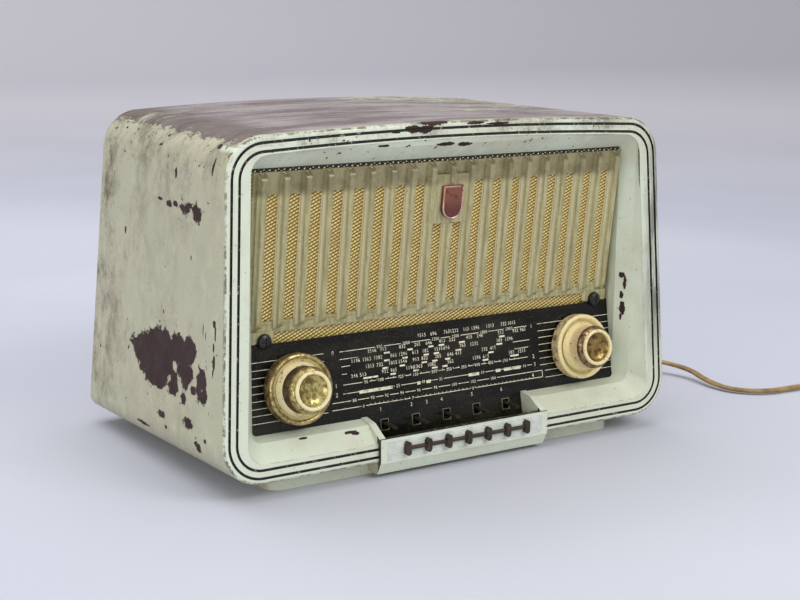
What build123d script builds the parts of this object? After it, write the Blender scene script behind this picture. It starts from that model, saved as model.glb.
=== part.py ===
from build123d import *

import os
from math import atan, cos, pi, radians, sin, tan

os.makedirs("parts", exist_ok=True)

# A bakelite table radio. Millimetres, +Z up, -Y is the front, origin on the table under the middle.
# "Depth" is the distance behind the foot of the front frame, so Y = FRONT_Y + depth.

# ---------------------------------------------------------------- driving dimensions

# Cabinet
HALF_WIDTH = 181.0        # front frame, half width at its foot
FRAME_BOTTOM = 11.0       # the front frame and the side walls stop this far above the table
FRAME_HEIGHT = 220.8      # foot to the middle of the crowned top
CROWN = 4.7               # drop of the top line between the middle and the corners
SIDE_TAPER = 0.05         # the side walls lean in, millimetres per millimetre of height
FRONT_LEAN = 0.05         # the front frame leans back
CORNER_RADIUS = 27.0
REAR_DEPTH = 227.0
REAR_HALF_WIDTH = 182.0
REAR_HEIGHT = 221.5
REAR_CROWN = 5.4
REAR_TAPER = 0.09
REAR_LOW_RADIUS = 9.0     # the lower corners are nearly square at the rear
REAR_EDGE_RADIUS = 5.0
FRONT_EDGE_RADIUS = 2.5
WALL = 4.5

# Front frame grooves and the opening inside the frame
GROOVE_INSETS = (3.4, 8.6)
GROOVE_WIDTH = 1.8
GROOVE_DEPTH = 1.2
OPENING_SIDE = 17.0
OPENING_TOP = 11.2
OPENING_FOOT = 12.7

# Bar plate in the middle of the foot, its ornament, and the block below it
BAR_HALF_WIDTH = 68.4
BAR_TOP = 27.6
BAR_PROUD = 2.9
KEY_BAY_HALF_WIDTH = 63.8
ORNAMENT_Z = 19.6
STUD_PROJECTION = 6.5
STUD_COUNT = 7
SKIRT_HALF_WIDTH = 142.0
SKIRT_DEPTH = 14.0
SKIRT_REAR = 213.0

# Dial glass: it leans back from the sill
DIAL_FOOT = (23.0, 35.8)  # depth and height where the sill ends at the glass
DIAL_LEAN = atan(0.1684)
DIAL_TOP_Z = 92.3
GLASS = 2.0

# Grille: it leans forward over the dial
GRILLE_FOOT = (36.0, 100.0)
GRILLE_LEAN = atan(0.1204)
RIB_PITCH = 15.66
SLOT_COUNT = 18
SLOT_WIDTH = 10.0
RIB_HEIGHT = 7.5
RIB_TAPER = 7.6            # degrees, on each flank
PANEL_HEIGHT = 5.5         # flat panel that carries the badge
PLATE_THICKNESS = 2.0
CLOTH = 0.5
BOARD = 4.0

# Knobs, two on each shaft
KNOB_X = 115.9
KNOB_UP = 26.7            # up the dial glass from the sill
DISC_RADIUS = 23.7
SHAFT_RADIUS = 3.0
TUBE_RADIUS = 5.0
RUNNING = 0.05            # radial clearance of a turning fit

# Keys
KEY_PITCH = 25.12
KEY_COUNT = 5
KEY_PIVOT = (52.0, 30.3)

# Tuning drive
POINTER_TRAVEL = 157.0
POINTER_START = -78.5
DRUM_RADIUS = 50.0        # half a turn of the drum draws the pointer over its whole travel
DRUM_X = 60.0
DRUM_Z = 100.5

# Chassis
CHASSIS_HALF_WIDTH = 150.0
CHASSIS_FRONT = 62.0
CHASSIS_REAR = 205.0
CHASSIS_TOP = 46.0
CHASSIS_FOOT = 17.5
SHEET = 1.2

# Speaker
SPEAKER_X = -60.0
SPEAKER_UP = 52.4
SPEAKER_RADIUS = 56.0

# Rear cover
COVER = 2.5
COVER_INSET = 13.0
SCREW_HEAD = 2.0

# Mains lead
CORD_DIAMETER = 5.5
GLAND_X = 120.0
GLAND_Z = 40.0
GLAND_LENGTH = 30.0

# The ornament's studs and the rear cover's screw heads are the foremost and rearmost points.
FRONT_Y = -(REAR_DEPTH + SCREW_HEAD - STUD_PROJECTION) / 2

# ---------------------------------------------------------------- planes

FRONT = Plane(
    origin=(0, FRONT_Y, FRAME_BOTTOM),
    x_dir=(1, 0, 0),
    z_dir=(0, -cos(atan(FRONT_LEAN)), sin(atan(FRONT_LEAN))),
)
DIAL_NORMAL = Vector(0, -cos(DIAL_LEAN), sin(DIAL_LEAN))
DIAL = Plane(origin=(0, FRONT_Y + DIAL_FOOT[0], DIAL_FOOT[1]), x_dir=(1, 0, 0), z_dir=DIAL_NORMAL)
GRILLE_NORMAL = Vector(0, -cos(GRILLE_LEAN), -sin(GRILLE_LEAN))
GRILLE = Plane(
    origin=(0, FRONT_Y + GRILLE_FOOT[0], GRILLE_FOOT[1]), x_dir=(1, 0, 0), z_dir=GRILLE_NORMAL
)
GRILLE_OUT = Axis(GRILLE.origin, GRILLE_NORMAL)
GRILLE_SIDE = Plane(origin=GRILLE.origin, x_dir=GRILLE.y_dir, z_dir=(1, 0, 0))


def at_depth(depth):
    """Upright plane facing the front: local x is X and local y is Z."""
    return Plane.XZ.offset(-(FRONT_Y + depth))


def side_at(x):
    """Upright plane facing +X: local x is Y and local y is Z."""
    return Plane.YZ.offset(x)


# ---------------------------------------------------------------- helpers


def cabinet_face(
    plane, half_width, height, crown, taper, radius, low_radius, side=0.0, top=0.0, foot=0.0
):
    """Rounded outline with a crowned top, drawn inside the given insets."""
    shoulder = height - crown - top
    low = half_width - side - taper * foot
    high = half_width - side - taper * shoulder
    with BuildSketch(plane) as face:
        with BuildLine():
            Polyline((-high, shoulder), (-low, foot), (low, foot), (high, shoulder))
            ThreePointArc((high, shoulder), (0, height - top), (-high, shoulder))
        make_face()
        fillet(face.vertices().group_by(Axis.Y)[0], low_radius)
        fillet(face.vertices().group_by(Axis.Y)[-1], radius)
    return face.sketch


def front_face(side=0.0, top=0.0, foot=0.0, radius=CORNER_RADIUS, behind=0.0):
    """Outline of the leaning front frame, inset and set back."""
    plane = FRONT.offset(-behind)
    return cabinet_face(
        plane, HALF_WIDTH, FRAME_HEIGHT, CROWN, SIDE_TAPER, radius, radius, side, top, foot
    )


def rear_face(depth, inset=0.0, radius=CORNER_RADIUS, low_radius=REAR_LOW_RADIUS):
    """Outline of the cabinet at its rear, inset evenly."""
    plane = Plane(origin=(0, FRONT_Y + depth, FRAME_BOTTOM), x_dir=(1, 0, 0), z_dir=(0, -1, 0))
    return cabinet_face(
        plane, REAR_HALF_WIDTH, REAR_HEIGHT, REAR_CROWN, REAR_TAPER, radius, low_radius, inset, inset, inset
    )


def opening_face(depth, half_width, foot, top, radius):
    """Upright rounded rectangle between two heights."""
    with BuildSketch(at_depth(depth)) as face:
        with Locations((0, (foot + top) / 2)):
            RectangleRounded(2 * half_width, top - foot, radius)
    return face.sketch


def side_profile(points):
    """Closed profile of (depth, height) points on the plane X = 0."""
    with BuildSketch(Plane.YZ) as profile:
        with BuildLine():
            Polyline(*[(FRONT_Y + depth, height) for depth, height in points], close=True)
        make_face()
    return profile.sketch


def turned(profile, centre, direction, mode=Mode.ADD):
    """Turn a closed profile of (radius, height) points about an axis through centre."""
    direction = Vector(*direction)
    across = Vector(1, 0, 0) if abs(direction.X) < 0.5 else Vector(0, 1, 0)
    section_plane = Plane(origin=centre, x_dir=across, z_dir=across.cross(direction))
    with BuildSketch(section_plane) as section:
        with BuildLine():
            Polyline(*profile, close=True)
        make_face()
    revolve(section.sketch, axis=Axis(centre, direction), mode=mode)


def rod(radius, centre, direction, start, end, mode=Mode.ADD):
    """Round bar along an axis through centre."""
    direction = Vector(*direction)
    base = Vector(*centre) + direction * start
    with BuildSketch(Plane(origin=base, z_dir=direction)) as disc:
        Circle(radius)
    extrude(disc.sketch, amount=end - start, mode=mode)


def block(x_range, depth_range, z_range, mode=Mode.ADD):
    """Rectangular block between limits."""
    centre = (
        (x_range[0] + x_range[1]) / 2,
        FRONT_Y + (depth_range[0] + depth_range[1]) / 2,
        (z_range[0] + z_range[1]) / 2,
    )
    with Locations(centre):
        Box(
            x_range[1] - x_range[0],
            depth_range[1] - depth_range[0],
            z_range[1] - z_range[0],
            mode=mode,
        )


def save(piece, name):
    """Label a finished piece and write it."""
    piece.part.label = name
    export_step(piece.part, f"parts/{name}.step")


# ---------------------------------------------------------------- cabinet

REVEAL_MIDDLE = dict(depth=13.0, half_width=154.5, foot=33.9, top=216.3, radius=8.0)
REVEAL_INNER = dict(depth=24.0, half_width=148.4, foot=35.8, top=205.6, radius=3.0)
REVEAL_BACK = dict(depth=42.0, half_width=148.4, foot=35.8, top=205.6, radius=3.0)


def widened(face, by):
    """The same opening, larger all round by a wall's thickness."""
    return dict(
        depth=face["depth"],
        half_width=face["half_width"] + by,
        foot=face["foot"] - by,
        top=face["top"] + by,
        radius=face["radius"] + by,
    )


def funnel(front, middle, inner, back):
    """Solid that fills the stepped reveal from the front frame to behind the dial and grille."""
    with BuildPart() as fill:
        loft([front, opening_face(**middle)], ruled=True)
        loft([opening_face(**middle), opening_face(**inner)], ruled=True)
        loft([opening_face(**inner), opening_face(**back)], ruled=True)
    return fill.part


def slope_depth(height):
    """Depth of the dial glass's front at a height."""
    return DIAL_FOOT[0] + (height - DIAL_FOOT[1]) * tan(DIAL_LEAN)


def cloth_depth(height):
    """Depth of the grille cloth's front at a height."""
    return GRILLE_FOOT[0] - (height - GRILLE_FOOT[1]) * tan(GRILLE_LEAN)


reveal = funnel(
    front_face(OPENING_SIDE, OPENING_TOP, OPENING_FOOT, radius=13.0),
    REVEAL_MIDDLE,
    REVEAL_INNER,
    REVEAL_BACK,
)
reveal_wall = funnel(
    front_face(OPENING_SIDE - WALL, OPENING_TOP - WALL, OPENING_FOOT - WALL, radius=17.5),
    widened(REVEAL_MIDDLE, WALL),
    widened(REVEAL_INNER, WALL),
    widened(REVEAL_BACK, WALL),
)

# Room behind the dial glass and the baffle board
SEAT_FOOT = 15.5
SEAT_TOP = 212.0
SEAT_REAR = 62.0
with BuildPart() as seat:
    extrude(
        side_profile(
            [
                (slope_depth(SEAT_FOOT), SEAT_FOOT),
                (slope_depth(DIAL_TOP_Z + 0.7), DIAL_TOP_Z + 0.7),
                (cloth_depth(DIAL_TOP_Z + 0.7) - 0.1, DIAL_TOP_Z + 0.7),
                (cloth_depth(SEAT_TOP) - 0.1, SEAT_TOP),
                (SEAT_REAR, SEAT_TOP),
                (SEAT_REAR, SEAT_FOOT),
            ]
        ),
        amount=157.0,
        both=True,
    )

with BuildPart() as hollow:
    loft(
        [
            front_face(WALL, WALL, WALL, radius=22.0, behind=WALL + 1.0),
            rear_face(REAR_DEPTH - 5.0, WALL, radius=22.0, low_radius=5.0),
        ]
    )
    add(reveal_wall, mode=Mode.SUBTRACT)

COVER_SCREWS = [(-154.5, 36), (154.5, 36), (-141, 203), (141, 203)]
BOTTOM_SCREWS = [(x, FRONT_Y + depth) for x in (-120, 120) for depth in (78, 190)]

with BuildPart() as cabinet_shell:
    loft([front_face(), rear_face(REAR_DEPTH)])
    fillet(cabinet_shell.faces().sort_by(Axis.Y)[-1].edges(), REAR_EDGE_RADIUS)
    fillet(cabinet_shell.faces().sort_by(Axis.Y)[0].edges(), FRONT_EDGE_RADIUS)
    add(hollow.part, mode=Mode.SUBTRACT)
    add(reveal, mode=Mode.SUBTRACT)
    add(seat.part, mode=Mode.SUBTRACT)
    # rear opening and the rebate that the cover lies in
    rear_opening = rear_face(REAR_DEPTH, COVER_INSET + 4.0, 36.0, 36.0)
    extrude(rear_opening, amount=12.0, both=True, mode=Mode.SUBTRACT)
    extrude(rear_face(REAR_DEPTH, COVER_INSET, 20.0, 20.0), amount=COVER, both=True, mode=Mode.SUBTRACT)
    for x, z in COVER_SCREWS:
        rod(1.6, (x, FRONT_Y, z), (0, 1, 0), REAR_DEPTH - 16, REAR_DEPTH, Mode.SUBTRACT)
    # two grooves all round the frame
    for inset in GROOVE_INSETS:
        outer = front_face(inset, inset, inset, radius=CORNER_RADIUS - inset)
        reach = inset + GROOVE_WIDTH
        inner = front_face(reach, reach, reach, radius=CORNER_RADIUS - reach)
        extrude(outer - inner, amount=-GROOVE_DEPTH, mode=Mode.SUBTRACT)
    # key bay in the middle of the sill, closed in front by the bar plate
    block((-KEY_BAY_HALF_WIDTH, KEY_BAY_HALF_WIDTH), (1.6, 24), (15.5, 60), Mode.SUBTRACT)
    block((-BAR_HALF_WIDTH, BAR_HALF_WIDTH), (-BAR_PROUD, 1.6), (FRAME_BOTTOM, BAR_TOP))
    lower_block = side_profile(
        [(-BAR_PROUD + 0.6, FRAME_BOTTOM), (1.6, 3.0), (SKIRT_DEPTH, 3.0), (SKIRT_DEPTH, FRAME_BOTTOM)]
    )
    extrude(lower_block, amount=BAR_HALF_WIDTH, both=True)
    for sign in (-1, 1):
        with BuildSketch(side_at(sign * (KEY_BAY_HALF_WIDTH + BAR_HALF_WIDTH) / 2)) as stub:
            with BuildLine():
                Polyline(
                    (FRONT_Y - 1.0, 20.0),
                    (FRONT_Y - 1.0, BAR_TOP),
                    (FRONT_Y + 12.0, 35.0),
                    (FRONT_Y + 22.9, 36.4),
                    (FRONT_Y + 20.0, 20.0),
                    close=True,
                )
            make_face()
        extrude(stub.sketch, amount=(BAR_HALF_WIDTH - KEY_BAY_HALF_WIDTH) / 2, both=True)
    # skirt under the frame, set back all round
    with BuildSketch(Plane.XY) as skirt:
        with Locations((0, FRONT_Y + (SKIRT_DEPTH + SKIRT_REAR) / 2)):
            RectangleRounded(2 * SKIRT_HALF_WIDTH, SKIRT_REAR - SKIRT_DEPTH, 12)
            RectangleRounded(
                2 * SKIRT_HALF_WIDTH - 12, SKIRT_REAR - SKIRT_DEPTH - 12, 8, mode=Mode.SUBTRACT
            )
    extrude(skirt.sketch, amount=FRAME_BOTTOM)
    # air slots and chassis screw holes in the bottom
    with BuildSketch(Plane.XY.offset(5)) as bottom_holes:
        with Locations((0, FRONT_Y + 134)):
            with GridLocations(26, 60, 8, 2):
                SlotOverall(44, 6, rotation=90)
        with Locations(*BOTTOM_SCREWS):
            Circle(2.3)
    extrude(bottom_holes.sketch, amount=14, mode=Mode.SUBTRACT)
save(cabinet_shell, "cabinet_shell")

# ---------------------------------------------------------------- ornament bar

ORNAMENT_HALF = 51.0
with BuildPart() as ornament_bar:
    rod(1.4, (0, FRONT_Y - BAR_PROUD - 1.4, ORNAMENT_Z), (1, 0, 0), -ORNAMENT_HALF, ORNAMENT_HALF)
    with BuildSketch(at_depth(-BAR_PROUD)) as studs:
        with Locations((0, ORNAMENT_Z)):
            with GridLocations(2 * (ORNAMENT_HALF - 2.2) / (STUD_COUNT - 1), 1, STUD_COUNT, 1):
                SlotOverall(9.4, 4.0, rotation=90)
    extrude(studs.sketch, amount=STUD_PROJECTION - BAR_PROUD)
save(ornament_bar, "ornament_bar")

# ---------------------------------------------------------------- grille

MOULDING_HALF_WIDTH = 146.4
MOULDING_TOP = 105.0
SLOT_FOOT = 7.1
SLOT_HEAD = 90.6
BADGE_PANEL_FOOT = 63.4
BADGE_PANEL_HALF = 18.4
BADGE_HALF = 8.1
BADGE_TOP = 89.4
BADGE_SHOULDER = 74.2
BADGE_FOOT = 66.4
LUG_X = (128.0, MOULDING_HALF_WIDTH)

with BuildPart() as rib:
    with BuildSketch(GRILLE) as rib_section:
        with Locations((0, MOULDING_TOP / 2)):
            Rectangle(5.7, MOULDING_TOP)
    extrude(rib_section.sketch, amount=RIB_HEIGHT, taper=RIB_TAPER)
    front_edges = rib.faces().sort_by(GRILLE_OUT)[-1].edges()
    fillet(front_edges.filter_by(Axis(GRILLE.origin, GRILLE.y_dir)), 1.1)
    with BuildSketch(GRILLE_SIDE) as rib_side:
        with BuildLine():
            Line((3.0, 0.5), (3.0, PLATE_THICKNESS))
            ThreePointArc((3.0, PLATE_THICKNESS), (4.8, 5.9), (8.6, RIB_HEIGHT))
            Line((8.6, RIB_HEIGHT), (98.0, RIB_HEIGHT))
            ThreePointArc((98.0, RIB_HEIGHT), (102.8, 5.6), (MOULDING_TOP - 0.4, 1.2))
            Line((MOULDING_TOP - 0.4, 1.2), (MOULDING_TOP - 0.4, 0.5))
            Line((MOULDING_TOP - 0.4, 0.5), (3.0, 0.5))
        make_face()
    extrude(rib_side.sketch, amount=5.0, both=True, mode=Mode.INTERSECT)

with BuildPart() as grille_moulding:
    with BuildSketch(GRILLE) as plate:
        with Locations((0, MOULDING_TOP / 2 - 0.25)):
            Rectangle(2 * MOULDING_HALF_WIDTH, MOULDING_TOP + 0.5)
        for slot in range(SLOT_COUNT):
            x = (slot - (SLOT_COUNT - 1) / 2) * RIB_PITCH
            head = BADGE_PANEL_FOOT if abs(x) < RIB_PITCH else SLOT_HEAD
            with Locations((x, (SLOT_FOOT + head) / 2)):
                Rectangle(SLOT_WIDTH, head - SLOT_FOOT, mode=Mode.SUBTRACT)
    extrude(plate.sketch, amount=PLATE_THICKNESS)
    for place in range(SLOT_COUNT + 1):
        add(rib.part.moved(Location(((place - SLOT_COUNT / 2) * RIB_PITCH, 0, 0))))
    # the middle rib stops below the badge and starts again above it
    with BuildSketch(GRILLE.offset(PANEL_HEIGHT)) as badge_seat:
        with Locations((0, (BADGE_PANEL_FOOT + BADGE_TOP + 2.0) / 2)):
            Rectangle(BADGE_HALF * 2 + 3.0, BADGE_TOP + 2.0 - BADGE_PANEL_FOOT)
    extrude(badge_seat.sketch, amount=RIB_HEIGHT, mode=Mode.SUBTRACT)
    with BuildSketch(GRILLE) as panel:
        with Locations((0, (BADGE_PANEL_FOOT + 97.0) / 2)):
            RectangleRounded(2 * BADGE_PANEL_HALF, 97.0 - BADGE_PANEL_FOOT, 2.0)
    extrude(panel.sketch, amount=PANEL_HEIGHT)
    with BuildSketch(GRILLE) as lugs:
        for sign in (-1, 1):
            with Locations((sign * (LUG_X[0] + LUG_X[1]) / 2, -2.6)):
                Rectangle(LUG_X[1] - LUG_X[0], 8.0)
    extrude(lugs.sketch, amount=4.0)
    # arched lip between the feet of the ribs
    with BuildSketch(GRILLE) as arches:
        for slot in range(SLOT_COUNT):
            x = (slot - (SLOT_COUNT - 1) / 2) * RIB_PITCH
            with Locations((x, 2.6)):
                Trapezoid(RIB_PITCH - 5.2, 4.6, 62)
    extrude(arches.sketch, amount=PLATE_THICKNESS + 1.0)
    for sign in (-1, 1):
        rod(2.1, (sign * 135.3, FRONT_Y + 20, 94.6), (0, 1, 0), 0, 30, Mode.SUBTRACT)
save(grille_moulding, "grille_moulding")

SHEET_FOOT = -11.6
SHEET_HEAD = 110.0


def grille_sheet(half_width, front, thickness, opening):
    """Sheet behind the grille moulding, with the two retaining screws' holes."""
    with BuildSketch(GRILLE.offset(front - thickness)) as sheet:
        with Locations((0, (SHEET_FOOT + SHEET_HEAD) / 2)):
            Rectangle(2 * half_width, SHEET_HEAD - SHEET_FOOT)
        if opening:
            with Locations((SPEAKER_X, SPEAKER_UP)):
                Circle(opening, mode=Mode.SUBTRACT)
    extrude(sheet.sketch, amount=thickness)
    for sign in (-1, 1):
        rod(2.1, (sign * 135.3, FRONT_Y + 20, 94.6), (0, 1, 0), 0, 40, Mode.SUBTRACT)


with BuildPart() as grille_cloth:
    grille_sheet(152.0, 0.0, CLOTH, 0)
save(grille_cloth, "grille_cloth")

with BuildPart() as baffle_board:
    grille_sheet(156.0, -CLOTH, BOARD, 50.0)
save(baffle_board, "baffle_board")

with BuildPart() as badge:
    with BuildSketch(GRILLE.offset(PANEL_HEIGHT)) as shield:
        with BuildLine():
            Line((-BADGE_HALF, BADGE_TOP), (BADGE_HALF, BADGE_TOP))
            Line((BADGE_HALF, BADGE_TOP), (BADGE_HALF, BADGE_SHOULDER))
            ThreePointArc((BADGE_HALF, BADGE_SHOULDER), (0, BADGE_FOOT), (-BADGE_HALF, BADGE_SHOULDER))
            Line((-BADGE_HALF, BADGE_SHOULDER), (-BADGE_HALF, BADGE_TOP))
        make_face()
    extrude(shield.sketch, amount=2.4)
    fillet(badge.faces().sort_by(GRILLE_OUT)[-1].edges(), 0.8)
save(badge, "badge")

with BuildPart() as retaining_screws:
    for sign in (-1, 1):
        centre = (sign * 135.3, FRONT_Y, 94.6)
        button = [(0, 28.6), (2.4, 28.7), (4.4, 29.6), (5.0, 31.0), (5.0, 31.9), (2.0, 31.9)]
        stem = [(2.0, 45.0), (0, 45.0)]
        turned(button + stem, centre, (0, 1, 0))
        block((sign * 135.3 - 3.2, sign * 135.3 + 3.2), (28.0, 29.5), (94.1, 95.1), Mode.SUBTRACT)
        block((sign * 135.3 - 0.5, sign * 135.3 + 0.5), (28.0, 29.5), (91.4, 97.8), Mode.SUBTRACT)
save(retaining_screws, "retaining_screws")

# ---------------------------------------------------------------- dial

GLASS_FOOT = -18.8
GLASS_HEAD = (DIAL_TOP_Z - DIAL_FOOT[1]) / cos(DIAL_LEAN)
KEY_SLOT_UP = -6.6

with BuildPart() as dial_glass:
    with BuildSketch(DIAL.offset(-GLASS)) as pane:
        with Locations((0, (GLASS_FOOT + GLASS_HEAD) / 2)):
            Rectangle(304, GLASS_HEAD - GLASS_FOOT)
        with Locations((-KNOB_X, KNOB_UP), (KNOB_X, KNOB_UP)):
            Circle(7.0, mode=Mode.SUBTRACT)
        for key in range(KEY_COUNT):
            with Locations(((key - 2) * KEY_PITCH, KEY_SLOT_UP)):
                Rectangle(5.0, 6.4, mode=Mode.SUBTRACT)
    extrude(pane.sketch, amount=GLASS)
save(dial_glass, "dial_glass")

BACK_PLATE = 12.0         # behind the glass's front
BRACKET_X = (92.0, 108.0)
with BuildPart() as dial_back_plate:
    with BuildSketch(DIAL.offset(-BACK_PLATE - SHEET)) as steel:
        with Locations((0, 27.0)):
            Rectangle(284, 54.0)
        with Locations((-KNOB_X, KNOB_UP), (KNOB_X, KNOB_UP)):
            Circle(TUBE_RADIUS + RUNNING, mode=Mode.SUBTRACT)
    extrude(steel.sketch, amount=SHEET)
    tuning_centre = DIAL.from_local_coords((KNOB_X, KNOB_UP, 0))
    rod(8.5, tuning_centre, DIAL_NORMAL, -19.0, -BACK_PLATE)
    rod(TUBE_RADIUS + RUNNING, tuning_centre, DIAL_NORMAL, -20.0, -BACK_PLATE + 1.0, Mode.SUBTRACT)
    for sign in (-1, 1):
        with BuildSketch(side_at(sign * (BRACKET_X[0] + BRACKET_X[1]) / 2)) as arm:
            with BuildLine():
                Polyline(
                    (FRONT_Y + 36.2, 36.6),
                    (FRONT_Y + CHASSIS_FRONT, 36.6),
                    (FRONT_Y + CHASSIS_FRONT, 34.6),
                    (FRONT_Y + 35.5, 34.6),
                    close=True,
                )
            make_face()
        extrude(arm.sketch, amount=(BRACKET_X[1] - BRACKET_X[0]) / 2, both=True)
save(dial_back_plate, "dial_back_plate")

RAIL_UP = 50.0
RAIL_BEHIND = 8.0
RAIL_CENTRE = DIAL.from_local_coords((0, RAIL_UP, -RAIL_BEHIND))
with BuildPart() as pointer_rail:
    rod(1.0, RAIL_CENTRE, (1, 0, 0), -96, 96)
    for sign in (-1, 1):
        post = DIAL.from_local_coords((sign * 96, RAIL_UP, -BACK_PLATE))
        rod(2.0, post, DIAL_NORMAL, 0, 5.6)
save(pointer_rail, "pointer_rail")

with BuildPart() as dial_pointer:
    with BuildSketch(DIAL.offset(-10.4)) as carriage:
        with Locations((POINTER_START, RAIL_UP)):
            RectangleRounded(10, 5.4, 1.0)
    extrude(carriage.sketch, amount=4.8)
    with BuildSketch(DIAL.offset(-5.6)) as needle:
        with Locations((POINTER_START, 27.5)):
            Rectangle(1.2, 50.0)
    extrude(needle.sketch, amount=0.8)
    rod(1.0 + RUNNING, RAIL_CENTRE, (1, 0, 0), POINTER_START - 6, POINTER_START + 6, Mode.SUBTRACT)
save(dial_pointer, "dial_pointer")

with BuildPart() as dial_lamps:
    for sign in (-1, 1):
        lamp = DIAL.from_local_coords((0, 47.0, -7.2))
        rod(3.2, lamp, (sign, 0, 0), 112, 124)
        rod(4.0, lamp, (sign, 0, 0), 124, 136)
        with BuildSketch(DIAL.offset(-BACK_PLATE)) as holder:
            with Locations((sign * 130, 47.0)):
                Rectangle(10, 5)
        extrude(holder.sketch, amount=3.0)
save(dial_lamps, "dial_lamps")

# ---------------------------------------------------------------- knobs and their shafts

DISC_PROFILE = [
    (TUBE_RADIUS, 1.5), (21.8, 1.5), (DISC_RADIUS, 2.6), (DISC_RADIUS, 8.6), (22.9, 9.7),
    (21.8, 9.9), (20.9, 9.3), (19.2, 7.2), (TUBE_RADIUS, 7.2),
]
GRIP_PROFILE = [
    (SHAFT_RADIUS, 7.7), (17.6, 7.7), (18.0, 8.8), (17.3, 10.4), (15.3, 13.0), (14.6, 17.0),
    (14.4, 20.6), (13.9, 20.6), (13.9, 26.2), (13.2, 27.0), (11.0, 27.0), (10.4, 26.0),
    (10.4, 22.0), (SHAFT_RADIUS, 22.0),
]
RING_PROFILE = [(13.9, 20.6), (14.9, 20.6), (15.3, 21.6), (15.3, 23.6), (14.6, 24.6), (13.9, 24.6)]
DISH_PROFILE = [(0, 22.0), (10.4, 22.0), (10.4, 25.2), (8.6, 24.0), (5.0, 22.9), (0, 22.5)]

for side_name, sign in (("left", -1), ("right", 1)):
    centre = DIAL.from_local_coords((sign * KNOB_X, KNOB_UP, 0))
    for piece_name, profiles in (
        ("outer_knob", [DISC_PROFILE]),
        ("inner_knob", [GRIP_PROFILE]),
        ("knob_trim", [RING_PROFILE, DISH_PROFILE]),
    ):
        with BuildPart() as knob_piece:
            for profile in profiles:
                turned(profile, centre, DIAL_NORMAL)
        save(knob_piece, f"{side_name}_{piece_name}")
    with BuildPart() as inner_spindle:
        rod(SHAFT_RADIUS, centre, DIAL_NORMAL, -25.0, 22.0)
    save(inner_spindle, f"{side_name}_inner_spindle")
    with BuildPart() as outer_spindle:
        rod(TUBE_RADIUS, centre, DIAL_NORMAL, -22.0, 7.2)
        rod(SHAFT_RADIUS + RUNNING, centre, DIAL_NORMAL, -22.0, 7.2, Mode.SUBTRACT)
    save(outer_spindle, f"{side_name}_outer_spindle")

with BuildPart() as volume_control:
    centre = DIAL.from_local_coords((-KNOB_X, KNOB_UP, 0))
    rod(12.0, centre, DIAL_NORMAL, -28.0, -BACK_PLATE - SHEET)
    rod(TUBE_RADIUS + RUNNING, centre, DIAL_NORMAL, -26.0, -BACK_PLATE - SHEET, Mode.SUBTRACT)
save(volume_control, "volume_control")

# ---------------------------------------------------------------- wave-change keys

KEY_TIP = 8.0
KEY_TAIL = 57.0
KEY_WIDTH = 3.6
KEY_THICKNESS = 1.4
PIVOT_RADIUS = 1.5

for key in range(KEY_COUNT):
    x = (key - 2) * KEY_PITCH
    pivot = (x, FRONT_Y + KEY_PIVOT[0], KEY_PIVOT[1])
    with BuildPart() as key_lever:
        block(
            (x - KEY_WIDTH / 2, x + KEY_WIDTH / 2),
            (KEY_TIP, KEY_TAIL),
            (KEY_PIVOT[1] - KEY_THICKNESS / 2, KEY_PIVOT[1] + KEY_THICKNESS / 2),
        )
        rod(3.2, pivot, (1, 0, 0), -KEY_WIDTH / 2, KEY_WIDTH / 2)
        rod(PIVOT_RADIUS + RUNNING, pivot, (1, 0, 0), -KEY_WIDTH, KEY_WIDTH, Mode.SUBTRACT)
    save(key_lever, f"key_lever_{key + 1}")

KEY_FRAME_HALF = 62.0
with BuildPart() as key_frame:
    block((-KEY_FRAME_HALF, KEY_FRAME_HALF), (CHASSIS_FRONT - SHEET, CHASSIS_FRONT), (18.5, 42))
    for sign in (-1, 1):
        inner, outer = sorted((sign * KEY_FRAME_HALF, sign * (KEY_FRAME_HALF - SHEET)))
        block((inner, outer), (46, CHASSIS_FRONT - SHEET), (24, 38))
    block((-KEY_FRAME_HALF, KEY_FRAME_HALF), (44.8, CHASSIS_FRONT - SHEET), (18.5, 19.7))
    rod(PIVOT_RADIUS, (0, FRONT_Y + KEY_PIVOT[0], KEY_PIVOT[1]), (1, 0, 0), -KEY_FRAME_HALF, KEY_FRAME_HALF)
save(key_frame, "key_frame")

# ---------------------------------------------------------------- loudspeaker

BOARD_BACK = GRILLE.offset(-CLOTH - BOARD)
SPEAKER_CENTRE = BOARD_BACK.from_local_coords((SPEAKER_X, SPEAKER_UP, 0))
BACKWARD = GRILLE_NORMAL * -1
BASKET_PROFILE = [
    (50.0, 0), (SPEAKER_RADIUS, 0), (SPEAKER_RADIUS, 2.0), (51.6, 2.0), (47.0, 10.0), (27.0, 28.0),
    (12.0, 28.0), (12.0, 26.8), (26.5, 26.8), (46.0, 9.2), (50.0, 1.6),
]
with BuildPart() as speaker_basket:
    turned(BASKET_PROFILE, SPEAKER_CENTRE, BACKWARD)
    window_plane = Plane(origin=SPEAKER_CENTRE + BACKWARD * 12.0, x_dir=(1, 0, 0), z_dir=BACKWARD)
    with BuildSketch(window_plane) as windows:
        with PolarLocations(37.0, 6):
            Rectangle(17, 22)
    extrude(windows.sketch, amount=13.0, mode=Mode.SUBTRACT)
save(speaker_basket, "speaker_basket")

with BuildPart() as speaker_cone:
    turned(
        [
            (49.6, 0.2), (49.6, 1.2), (46.2, 2.2), (12.0, 25.0), (0, 19.6), (0, 18.6), (11.6, 23.6),
            (45.4, 1.0), (47.0, 0.2),
        ],
        SPEAKER_CENTRE,
        BACKWARD,
    )
save(speaker_cone, "speaker_cone")

with BuildPart() as speaker_magnet:
    rod(24.0, SPEAKER_CENTRE, BACKWARD, 28.0, 50.0)
save(speaker_magnet, "speaker_magnet")

# ---------------------------------------------------------------- chassis

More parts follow.
